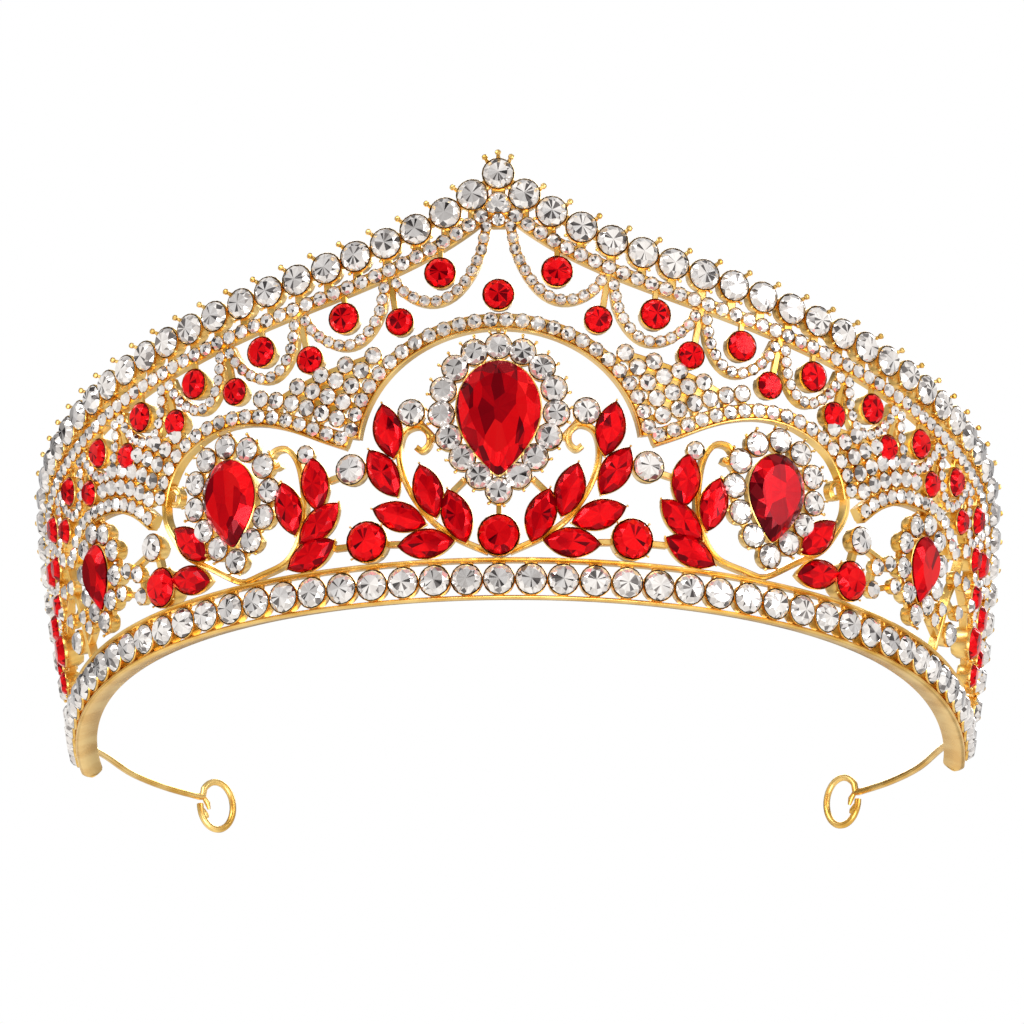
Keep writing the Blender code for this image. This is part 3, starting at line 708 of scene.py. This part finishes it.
def ruby_of(name, tone_of):
    """Foil-backed red glass in its own red, with painted shade at its facets' dark ends and painted light, as
    if lit from within, at the others.
    """
    paint = Paint(name)
    where = paint.where()
    cloud = noise(paint, where, 300.0, 1.0)
    tone = tone_of(paint, where) + 0.14 * (cloud - 0.5)
    # painted shade to painted light: near-black red at low tones, bright red at high
    color = paint.ramp(tone, (0.0, (0.085, 0.0, 0.003)), (0.3, (0.30, 0.0, 0.005)),
                       (0.62, (0.78, 0.002, 0.007)), (0.9, (0.97, 0.004, 0.008)), (1.0, (0.98, 0.01, 0.012)))
    return paint.surface(Base_Color=color, Metallic=0.55, Roughness=0.10 + 0.06 * cloud, IOR=1.56,
                         Specular_IOR_Level=0.06, Coat_Weight=0.10, Coat_Roughness=0.02)


# each facet's painted reflection tone, as it is
def facet_tone(paint, where):
    return paint.mark()


def patched_tone(paint, where):
    """A big stone shows wide, broken patches of painted reflection, light and dark, across its facets."""
    squeezed = paint.node("ShaderNodeMapping", {}, {"Vector": where, "Scale": (1.0, 1.0, 0.40)})
    cells = paint.node("ShaderNodeTexVoronoi", {},
                       {"Vector": squeezed, "Scale": 400.0, "Randomness": 1.0}, out=1)
    patch = paint.node("ShaderNodeSeparateColor", {}, {"Color": cells})
    return 0.62 * paint.mark() + 0.95 * patch - 0.27


def pale_floor():
    """A pale floor that is seen from above only."""
    paint = Paint("pale_floor")
    cloud = noise(paint, paint.where(), 6.0, 4.0)
    color = paint.mix(cloud, (0.84, 0.84, 0.84, 1.0), (0.88, 0.88, 0.875, 1.0))
    face = paint.node("ShaderNodeBsdfPrincipled", {}, {"Base Color": color, "Roughness": 0.7,
                                                       "Emission Color": color, "Emission Strength": 0.36})
    clear = paint.node("ShaderNodeBsdfTransparent")
    back = paint.node("ShaderNodeNewGeometry", out=6)
    both = paint.node("ShaderNodeMixShader", {}, {0: back, 1: face, 2: clear})
    paint.node("ShaderNodeOutputMaterial", {}, {"Surface": both})
    return paint.home


GOLD = gold_plate()
CLEAR = clear_glass()
RUBY = ruby_of("ruby_glass", facet_tone)
BIG_RUBY = ruby_of("ruby_glass_large", patched_tone)


# ---------------------------------------------------------------- pieces


def piece(name, work, material, nodes, angle=None):
    """One piece of the model, standing for these castings."""
    mesh = bpy.data.meshes.new(name)
    mesh.from_pydata([(x * MM, y * MM, z * MM) for x, y, z in work.points], [], work.faces)
    sizes = [len(face) for face in work.faces]
    # each face's painted tone: painted shade on gold, painted reflections on stones
    marks = mesh.attributes.new("mark", "FLOAT", "CORNER")
    marks.data.foreach_set("value", np.repeat(np.array(work.marks, np.float32), sizes))
    if angle is not None:
        mesh.shade_smooth()
        mesh.set_sharp_from_angle(angle=math.radians(angle))
    mesh.materials.append(material)
    made = bpy.data.objects.new(name, mesh)
    bpy.context.scene.collection.objects.link(made)
    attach(made, "root")
    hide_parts(*nodes)
    return made


def gold_piece(name, work, nodes):
    return piece(name, work, GOLD, nodes, 38)


def clear_piece(name, work, nodes):
    return piece(name, work, CLEAR, nodes)


def ruby_piece(name, work, nodes, material=RUBY):
    return piece(name, work, material, nodes)


def turned(seat, angle, proud):
    """The seat turned about its own axis and raised out of the wall."""
    origin, right, upward, outward = seat
    c, s = math.cos(angle), math.sin(angle)
    return origin + outward * proud, right * c + upward * s, upward * c - right * s, outward


def set_round(gold, glass, seat, diameter, chance, palette=CLEAR_REFLECTIONS):
    """A round stone in a turned cup."""
    radius = diameter / 2
    gold.stamp(CUP, seat, radius)
    own = turned(seat, chance.uniform(0, TAU), radius * 0.25)
    stone = chance.choice(ROUND_STONES)
    glass.stamp(stone, own, radius * 0.965, tones(stone[2], palette, chance))


def set_small(gold, glass, seat, diameter, chance):
    """A small round stone in a cut-down seat."""
    radius = diameter / 2
    gold.stamp(SMALL_CUP, seat, radius)
    own = turned(seat, chance.uniform(0, TAU), radius * 0.28)
    glass.stamp(SMALL_STONE, own, radius, tones(SMALL_STONE[2], CLEAR_REFLECTIONS, chance, 0.2, 0.08))


def both_sides(name, gold, glass, rubies=None, with_glass=(), with_rubies=()):
    """A casting and its stones on each side; the other nodes they stand for have braces for the side."""
    for side in SIDES:
        own = [f"{name}_{side}"]
        gold_piece(f"{name}_settings_{side}", gold.on(side), own)
        clear_piece(f"{name}_stones_{side}", glass.on(side), own + [node.format(side) for node in with_glass])
        if rubies:
            ruby_piece(f"{name}_rubies_{side}", rubies.on(side),
                       own + [node.format(side) for node in with_rubies])


def lower_rail():
    """A flange square to the wall on a narrow flat foot, with a double line along its front edge."""
    gold = Work()
    count = 120
    half = (FOOT_OUT + FLANGE_IN) / 2
    middle = (FOOT_OUT - FLANGE_IN) / 2
    tab_start = BAND_HALF - half
    stations = [-tab_start + 2 * tab_start * index / count for index in range(count + 1)]
    tab = [tab_start + half * math.sin(math.pi / 2 * step / 5) for step in range(1, 6)]
    stations = [-t for t in reversed(tab)] + stations + tab
    outline = ((0.05, -FLANGE_IN), (0.0, -FLANGE_IN + 0.15), (0.0, -FOOT_IN), (0.0, FOOT_OUT - 0.25),
               (0.10, FOOT_OUT - 0.05), (0.20, FOOT_OUT), (0.28, FOOT_OUT - 0.12), (0.36, FOOT_OUT),
               (RAIL_THICK, FOOT_OUT - 0.06), (RAIL_THICK + 0.02, FOOT_OUT - 0.3), (RAIL_THICK, -FOOT_IN),
               (RAIL_THICK, -FLANGE_IN + 0.1), (RAIL_THICK - 0.12, -FLANGE_IN))
    rings = []
    for along in stations:
        past = max(0.0, abs(along) - tab_start) / half
        narrow = math.sqrt(max(0.02, 1 - past * past))
        heel = middle + (-FOOT_IN - middle) * narrow
        ring = []
        for up, out in outline:
            off = middle + (out - middle) * narrow
            ring.append(place(along, up + max(0.0, heel - off) * FLANGE_SLOPE, off, 0.0))
        rings.append(ring)
    gold.add(*between(rings))
    gold_piece("lower_rail_polished", gold, ["lower_rail"])


def upper_rail():
    gold = Work()
    count = 120
    line = [(-WALL_END + 2 * WALL_END * index / count, BAND_HEIGHT - 0.15) for index in range(count + 1)]
    gold.add(*bar(line, ridged_section(0.75, -0.7, 0.9)))
    gold_piece("upper_rail_polished", gold, ["upper_rail"])


def base_row():
    gold, glass = Work(), Work()
    chance = random.Random(11)
    count = int(WALL_END / BAND_PITCH)
    post = rounded_section(2.0, -0.55, 0.35, 0.15)
    foot = rounded_section(1.6, -0.55, 0.45, 0.15)
    joint = rounded_section(1.1, -0.4, 0.3, 0.15)
    for index in range(-count, count + 1):
        along = BAND_PITCH * index
        set_round(gold, glass, spot(along, BAND_MIDDLE, BAND_OUT), BAND_STONE, chance)
        gold.add(*bar([(along, BAND_MIDDLE + 1.5), (along, BAND_HEIGHT - 0.3)], post))
        gold.add(*bar([(along, 0.5), (along, BAND_MIDDLE - 1.5)], foot))
        if index < count:
            link = along + BAND_PITCH / 2
            gold.add(*bar([(link - 0.6, BAND_MIDDLE), (link + 0.6, BAND_MIDDLE)], joint))
    gold_piece("base_row_settings", gold, ["base_cup_chain"])
    clear_piece("base_row_stones", glass, ["base_cup_chain"])


def crest_places():
    places, gone, step, along = [], 0.0, 0.1, 0.0
    while along < WALL_END:
        if gone >= len(places) * CREST_PITCH:
            places.append((along, crest(along)))
        rise = crest(along + step) - crest(along)
        gone += math.hypot(step * stretch(along, crest(along)), rise)
        along += step
    return places


def crest_claws(along):
    """Angles of the claws round a crest stone: one tall one on its upper side, and three on the peak's."""
    if not along:
        return 50, 90, 130, 235, 305
    return (57, 235, 305) if along > 0 else (123, 235, 305)


def crest_row():
    gold, glass = Work(), Work()
    chance = random.Random(23)
    half = crest_places()
    seats = [(-along, up) for along, up in half[:0:-1]] + half
    for index, (along, up) in enumerate(seats):
        before = seats[max(index - 1, 0)]
        after = seats[min(index + 1, len(seats) - 1)]
        heading = math.atan2(after[1] - before[1], (after[0] - before[0]) * stretch(along, up))
        seat = spot(along, up, ROUND_OUT)
        set_round(gold, glass, seat, CREST_STONE, chance)
        for lean in crest_claws(along):
            size = 1.55 if lean < 180 else 0.9
            add_prong(gold, seat, heading + math.radians(lean), CREST_STONE * 0.53, size)
        side = 1 if along >= 0 else -1
        low = hang(abs(along), PAVE_DEPTH - 0.6)
        gold.add(*bar([(side * low[0], low[1]), (along, up)], rounded_section(1.5, -0.5, 0.3, 0.15)))
    for (a, b), (c, d) in zip(seats, seats[1:]):
        gold.add(*bar([(a + (c - a) * 0.36, b + (d - b) * 0.36), (a + (c - a) * 0.64, b + (d - b) * 0.64)],
                      rounded_section(1.7, -0.5, 0.35, 0.15)))
    top = crest(0.0)
    gold.add(*bar([(0.0, top - 8.5), (0.0, top)], rounded_section(2.2, -1.2, 0.3, 0.15)))
    for depth, size in PEAK_STONES:
        set_round(gold, glass, spot(0.0, top - depth, 0.5), size, chance)
    gold_piece("crest_settings", gold, ["crest_cup_chain"])
    clear_piece("crest_stones", glass, ["crest_cup_chain"])


def pave_line(gold, glass, points, diameter, pitch, width, chance, edge=0.0):
    """A bar with a row of small stones let into it."""
    gold.add(*bar(points, rounded_section(width, -1.3, 0.35)))
    if edge:
        gold.add(*bar(offset(points, edge), rounded_section(0.38, -1.2, 0.7, 0.12)))
    for along, up, _ in spaced(points, pitch):
        set_small(gold, glass, spot(along, up, SMALL_OUT), diameter, chance)


def swag_line(start, end, steps=16):
    """The chain between two ties, which hangs low through its middle."""
    tied = PAVE_DEPTH + 1.6
    line = []
    for index in range(steps + 1):
        share = index / steps
        droop = math.sin(math.pi * share**0.75) ** 0.7 if 0 < share < 1 else 0.0
        line.append(hang(start + 0.6 + (end - start - 1.2) * share, tied + (SWAG_DEPTH - tied) * droop))
    return line


def garland():
    gold, glass, rubies = Work(), Work(), Work()
    chance = random.Random(37)
    count = 90
    row = [hang(GARLAND_END * index / count, PAVE_DEPTH) for index in range(count + 1)]
    pave_line(gold, glass, row, PAVE_STONE, PAVE_PITCH, 2.2, chance)
    for start, end in zip(SWAG_TIES, SWAG_TIES[1:]):
        pave_line(gold, glass, swag_line(start, end), SWAG_STONE, SWAG_PITCH, 1.55, chance)
        middle = (start + end) / 2
        seat = spot(*hang(middle, RUBY_DEPTH), ROUND_OUT)
        set_round(gold, rubies, seat, SWAG_RUBY, chance, BRIGHT_RED_REFLECTIONS)
        gold.add(*bar([hang(middle, PAVE_DEPTH + 0.8), hang(middle, RUBY_DEPTH - SWAG_RUBY / 2)],
                      rounded_section(0.9, -0.4, 0.3, 0.12)))
    for tie in SWAG_TIES[1:-1]:
        seat = spot(*hang(tie - TIE_RUBY_SHIFT, TIE_RUBY_DEPTH), ROUND_OUT)
        set_round(gold, rubies, seat, TIE_RUBY, chance, BRIGHT_RED_REFLECTIONS)
        low = hang(tie - TIE_RUBY_SHIFT / 2, TIE_RUBY_DEPTH - TIE_RUBY / 2)
        gold.add(*bar([hang(tie, PAVE_DEPTH + 0.8), low], rounded_section(1.0, -0.45, 0.35, 0.12)))
    both_sides("garland", gold, glass, rubies,
               with_rubies=[f"swag_ruby_{{}}_{index}" for index in range(1, RUBY_SWAGS + 1)])


def arch_line(shape):
    return smooth(shape, 3)


def central_arch_line(count=48):
    along, up, half, rise = CENTRAL_ARCH
    span = math.pi - 2 * CENTRAL_ARCH_FROM
    angles = [CENTRAL_ARCH_FROM + span * index / count for index in range(count + 1)]
    return [(along + half * math.cos(angle), up + rise * math.sin(angle)) for angle in angles]


def offset(points, distance):
    """A line beside this one, to the left of its run."""
    moved = []
    for index, (a, u) in enumerate(points):
        before, after = points[max(index - 1, 0)], points[min(index + 1, len(points) - 1)]
        run, rise = after[0] - before[0], after[1] - before[1]
        length = math.hypot(run, rise)
        moved.append((a - rise / length * distance, u + run / length * distance))
    return moved


def run_back(points, distance):
    """The same line, begun this much earlier."""
    (a, b), (c, d) = points[:2]
    length = math.hypot(c - a, d - b)
    return [(a - (c - a) / length * distance, b - (d - b) / length * distance)] + points


def nearest(point, line):
    return min(math.hypot(point[0] - a, point[1] - u) for a, u in line)


def beside_reach(line, up):
    """How far out this arch reaches at this height."""
    edge = LATTICE_SIDE * max(along for along, _ in line)
    outer = [point for point in line if point[0] > edge]
    return min(outer, key=lambda point: abs(point[1] - up))[0]


def central_arch():
    gold, glass = Work(), Work()
    line = central_arch_line()
    top = max(up for _, up in line)
    pave_line(gold, glass, line, ARCH_STONE, ARCH_PITCH, 2.25, random.Random(41), edge=1.3)
    gold.add(*bar([(0.0, MEDALLION_TIE), (0.0, top)], rounded_section(0.7, -0.4, 0.3, 0.12)))
    gold_piece("central_arch_settings", gold, ["central_arch"])
    clear_piece("central_arch_stones", glass, ["central_arch"])


def side_arches():
    for name, shape, seed in (("side_arch", SIDE_ARCH, 43), ("end_arch", END_ARCH, 47)):
        gold, glass = Work(), Work()
        chance = random.Random(seed)
        pave_line(gold, glass, arch_line(shape), ARCH_STONE, ARCH_PITCH, 2.25, chance, edge=-1.3)
        both_sides(name, gold, glass)


def lattice_places(rows, beside, under):
    """Stepped rows of stones in the corner between two arches, each row parallel to the lower arch."""
    places = []
    for row, count in enumerate(rows, 1):
        line = run_back(offset(under, row * LATTICE_PITCH), 12.0)
        clear = [seat for seat in spaced(line, 0.2) if nearest(seat, beside) > LATTICE_PITCH * 0.9]
        start = next(k for k, seat in enumerate(clear) if seat[0] > beside_reach(beside, seat[1]))
        free = [seat[:2] for seat in clear[start:]]
        places += [seat[:2] for seat in spaced(free, LATTICE_PITCH, 0.0)[:count]]
    return places


def lattices():
    corners = (("inner", central_arch_line(), arch_line(SIDE_ARCH), 53),
               ("outer", arch_line(SIDE_ARCH), arch_line(END_ARCH), 59))
    strut = rounded_section(1.1, -1.1, 0.3, 0.12)
    for name, beside, under, seed in corners:
        gold, glass = Work(), Work()
        chance = random.Random(seed)
        places = lattice_places(LATTICE_ROWS[name], beside, under)
        for along, up in places:
            set_small(gold, glass, spot(along, up, SMALL_OUT), LATTICE_STONE, chance)
        for first, second in itertools.combinations(places, 2):
            if math.dist(first, second) < LATTICE_PITCH * 1.6:
                gold.add(*bar([first, second], strut))
        for stone in places:
            arch = min(beside + under, key=lambda point: math.dist(point, stone))
            if math.dist(arch, stone) < LATTICE_PITCH * 1.3:
                gold.add(*bar([stone, arch], strut))
        both_sides(f"lattice_{name}", gold, glass)


def halo_line(key, extra, count=72):
    along, up, length, width, _, _ = MEDALLIONS[key]
    points = []
    for index in range(count + 1):
        x, y = pear_curve(math.pi / 2 + TAU * index / count)
        half_width, half_length = width / 2 + extra, length / 2 + extra
        points.append((along + x * half_width / stretch(along, up), up + y / PEAR_HALF * half_length))
    return points


def medallion(key):
    """A pear in its cup, with its halo of claw-set stones."""
    gold, glass, ruby = Work(), Work(), Work()
    along, up, length, width, count, size = MEDALLIONS[key]
    chance = random.Random(61 + count)
    ring = halo_line(key, 0.22 + size * 0.52)
    gold.add(*bar(ring[:-1] + ring[:1], rounded_section(1.1, -0.7, 0.1, 0.12)))
    for a, u, heading in spaced(ring, 0, 0.0, closed_count=count):
        seat = spot(a, u, HALO_OUT)
        set_round(gold, glass, seat, size, chance)
        for lean in (-62, -118):
            add_prong(gold, seat, heading + math.radians(lean), size * 0.54, 0.85, 0.5, 0.1)
    gold.stamp(stretched(PEAR_CUP, width, length, PEAR_HALF), spot(along, up, PEAR_CUP_OUT))
    ruby.stamp(stretched(PEAR_STONE, width, length, PEAR_HALF), spot(along, up, PEAR_OUT), 1.0,
               tones(PEAR_STONE[2], PEAR_REFLECTIONS, chance, 0.0, 0.3))
    return gold, glass, ruby


def stretched(shape, width, length, lengthwise):
    """A shape of half width 1 and this half length, brought to a stone's size."""
    points, faces, marks = shape
    scale = np.array([width / 2, length / 2 / lengthwise, width / 2])
    return points * scale, faces, marks


def set_leaf(gold, ruby, along, up, lean, chance):
    turn = -math.radians(lean)
    seat = spot(along, up, ROUND_OUT, turn)
    length, width = MARQUISE
    gold.stamp(stretched(LEAF_CUP, width, length, MARQUISE_HALF), seat)
    ruby.stamp(stretched(LEAF_STONE, width, length, MARQUISE_HALF), spot(along, up, LEAF_OUT, turn), 1.0,
               tones(LEAF_STONE[2], LEAF_REFLECTIONS, chance, 0.12, 0.1))
    for end in (math.pi / 2, -math.pi / 2):
        add_prong(gold, seat, end, length / 2, 0.6, 0.5, 0.2)


def spray_of(spray, seed):
    gold, glass, ruby = Work(), Work(), Work()
    chance = random.Random(seed)
    for stem in spray["stems"]:
        gold.add(*bar(smooth(stem, 5), ridged_section(0.95, -1.1, 0.45)))
    for along, up, lean in spray.get("leaves", ()):
        set_leaf(gold, ruby, along, up, lean, chance)
    for along, up, size in spray["rubies"]:
        seat = spot(along, up, FOOT_RUBY_OUT)
        set_round(gold, ruby, seat, size, chance, BRIGHT_RED_REFLECTIONS)
        for angle in (45, 135, 225, 315):
            add_prong(gold, seat, math.radians(angle), size * 0.53, 0.6)
    for along, up, size in spray["clears"]:
        if size > ROUND_FROM:
            set_round(gold, glass, spot(along, up, ROUND_OUT), size, chance)
        else:
            set_small(gold, glass, spot(along, up, SMALL_OUT), size, chance)
    for link in spray["links"]:
        gold.add(*bar(list(link), rounded_section(1.0, -1.1, 0.3, 0.15)))
    return gold, glass, ruby


def medallions():
    gold, glass, ruby = medallion("center")
    chance, rounds = random.Random(71), Work()
    set_round(gold, rounds, spot(0.0, FOOT_RUBY_UP, FOOT_RUBY_OUT), FOOT_RUBY, chance, BRIGHT_RED_REFLECTIONS)
    set_round(gold, rounds, spot(0.0, DROP_RUBY_UP, ROUND_OUT), SWAG_RUBY, chance, BRIGHT_RED_REFLECTIONS)
    gold.add(*bar([(0.0, up) for up in MEDALLION_STRUT], rounded_section(0.8, -0.4, 0.3, 0.12)))
    gold_piece("medallion_center_settings", gold, ["medallion_center"])
    clear_piece("medallion_center_stones", glass, ["medallion_center"])
    ruby_piece("pear_center_cut", ruby, ["pear_center"], BIG_RUBY)
    ruby_piece("center_rubies", rounds, ["foot_ruby_center", "drop_ruby_center"])
    for key in ("side", "end"):
        gold, glass, ruby = medallion(key)
        for side in SIDES:
            own = [f"medallion_{key}_{side}"]
            gold_piece(f"medallion_{key}_settings_{side}", gold.on(side), own)
            clear_piece(f"medallion_{key}_stones_{side}", glass.on(side), own)
            ruby_piece(f"pear_{key}_cut_{side}", ruby.on(side), [f"pear_{key}_{side}"], BIG_RUBY)


def sprays():
    both_sides("spray_center", *spray_of(SPRAYS["center"], 83), with_rubies=["foot_ruby_{}_1"])
    both_sides("spray_side", *spray_of(SPRAYS["side"], 89), with_glass=["round_crystal_{}"])
    both_sides("spray_end", *spray_of(SPRAYS["end"], 97), with_rubies=["foot_ruby_{}_2"])
    both_sides("end_panel", *spray_of(END_PANEL, 101))


def back_wires():
    """A sprung wire from each end of the band to its eye, with balled tips inside the eye."""
    foot, ahead, _, out = wall(WALL_END, 0.0)
    level = np.array((0.0, 0.0, 1.0))
    stem = [foot + ahead * past - out * inward + level * up for past, inward, up in smooth(WIRE_STEM, 8)]
    across = ahead * math.cos(EYE_TURN) - out * math.sin(EYE_TURN)
    middle = stem[-1] + across * (EYE_WIDTH / 2) * abs(math.cos(EYE_FROM))
    middle[2] = EYE_TALL / 2 + WIRE_RADIUS + EYE_CLEAR

    def in_eye(reach, rise):
        return middle + across * (EYE_WIDTH / 2 * reach) + level * (EYE_TALL / 2 * rise)

    turns = [EYE_FROM + (EYE_TO - EYE_FROM) * index / EYE_STEPS for index in range(1, EYE_STEPS + 1)]
    eye = [in_eye(math.cos(angle), math.sin(angle)) for angle in turns]
    gold = Work()
    gold.add(*tube(stem + eye, WIRE_RADIUS, 12))
    for tip, radii in WIRE_TIPS:
        gold.add(*tube([in_eye(*point) for point in tip], radii, 10))
    gold_piece("back_wire_bent_left", gold.on("left"), ["back_wire_left"])
    gold_piece("back_wire_bent_right", gold.on("right"), ["back_wire_right"])


def build():
    lower_rail()
    upper_rail()
    base_row()
    crest_row()
    garland()
    central_arch()
    side_arches()
    lattices()
    medallions()
    sprays()
    back_wires()


# ---------------------------------------------------------------- studio


def studio_world():
    """White to the eye; to the gold and glass, a white tent with dark openings."""
    world = bpy.data.worlds.new("studio")
    bpy.context.scene.world = world
    paint = Paint("studio", world)
    way = paint.node("ShaderNodeTexCoord", out=0)
    cards = noise(paint, way, 2.6, 1.0, 0.4)
    tent = paint.ramp(cards, (0.36, (0.03, 0.03, 0.035)), (0.46, (0.45, 0.45, 0.46)),
                      (0.56, (0.95, 0.925, 0.89)))
    height = paint.node("ShaderNodeSeparateXYZ", {}, {"Vector": way}, out=2)
    below = paint.node("ShaderNodeMath", {"operation": "MULTIPLY", "use_clamp": True}, {0: height, 1: -1.6})
    tent = paint.mix(0.6 * below, tent, (1.25, 1.22, 1.16, 1.0))
    seen = paint.node("ShaderNodeLightPath", out=0)
    shine = paint.node("ShaderNodeLightPath", out=3)
    ambient = paint.mix(shine, (0.54, 0.52, 0.50, 1.0), tent)
    color = paint.mix(seen, ambient, (1.0, 1.0, 1.0, 1.0))
    back = paint.node("ShaderNodeBackground", {}, {"Color": color, "Strength": 1.0})
    paint.node("ShaderNodeOutputWorld", {}, {"Surface": back})


def soft_box(name, at, size, power, color=(1.0, 1.0, 1.0)):
    light = bpy.data.lights.new(name, "AREA")
    light.shape = "RECTANGLE"
    light.size, light.size_y = size
    light.energy = power
    light.color = color
    made = bpy.data.objects.new(name, light)
    bpy.context.scene.collection.objects.link(made)
    made.location = Vector(at)
    made.rotation_mode = "QUATERNION"
    made.rotation_quaternion = (Vector((0, 0.03, 0.03)) - Vector(at)).to_track_quat("-Z", "Y")
    return made


def studio():
    studio_world()
    soft_box("key_box", (-0.45, -0.55, 0.55), (0.5, 0.35), 3.2)
    soft_box("fill_box", (0.60, -0.45, 0.15), (0.25, 0.55), 1.8)
    soft_box("low_box", (0.10, -0.60, -0.45), (0.5, 0.3), 2.6)
    soft_box("back_box", (0.15, 0.60, 0.45), (0.6, 0.35), 3.0)
    floor_mesh = bpy.data.meshes.new("floor")
    half = FLOOR_WIDTH / 2
    corners = [(-half, -half, 0), (half, -half, 0), (half, half, 0), (-half, half, 0)]
    floor_mesh.from_pydata(corners, [], [(0, 1, 2, 3)])
    floor_mesh.materials.append(pale_floor())
    floor = bpy.data.objects.new("floor", floor_mesh)
    bpy.context.scene.collection.objects.link(floor)
    floor.location.z = -FLOOR_CLEAR
    floor.visible_diffuse = False
    floor.visible_glossy = False
    floor.visible_transmission = False
    floor.visible_shadow = False


def camera():
    lens = bpy.data.cameras.new("camera")
    lens.sensor_width = 36.0
    lens.lens = CAMERA_LENS
    lens.clip_start, lens.clip_end = 0.01, 20.0
    made = bpy.data.objects.new("camera", lens)
    bpy.context.scene.collection.objects.link(made)
    yaw, rise, roll = CAMERA_YAW, CAMERA_ELEVATION, CAMERA_ROLL
    ahead = Vector((-math.sin(yaw) * math.cos(rise), math.cos(yaw) * math.cos(rise), -math.sin(rise)))
    right = Vector((math.cos(yaw), math.sin(yaw), 0.0))
    above = Vector((-math.sin(yaw) * math.sin(rise), math.cos(yaw) * math.sin(rise), math.cos(rise)))
    c, s = math.cos(roll), math.sin(roll)
    tilted, raised = right * c - above * s, right * s + above * c
    turned = Matrix((tilted, raised, -ahead)).transposed().to_4x4()
    turned.translation = (Vector(AIM) - ahead * CAMERA_DISTANCE) * MM
    made.matrix_world = turned
    bpy.context.scene.camera = made


build()
studio()
camera()
bpy.context.scene.view_settings.view_transform = "Standard"
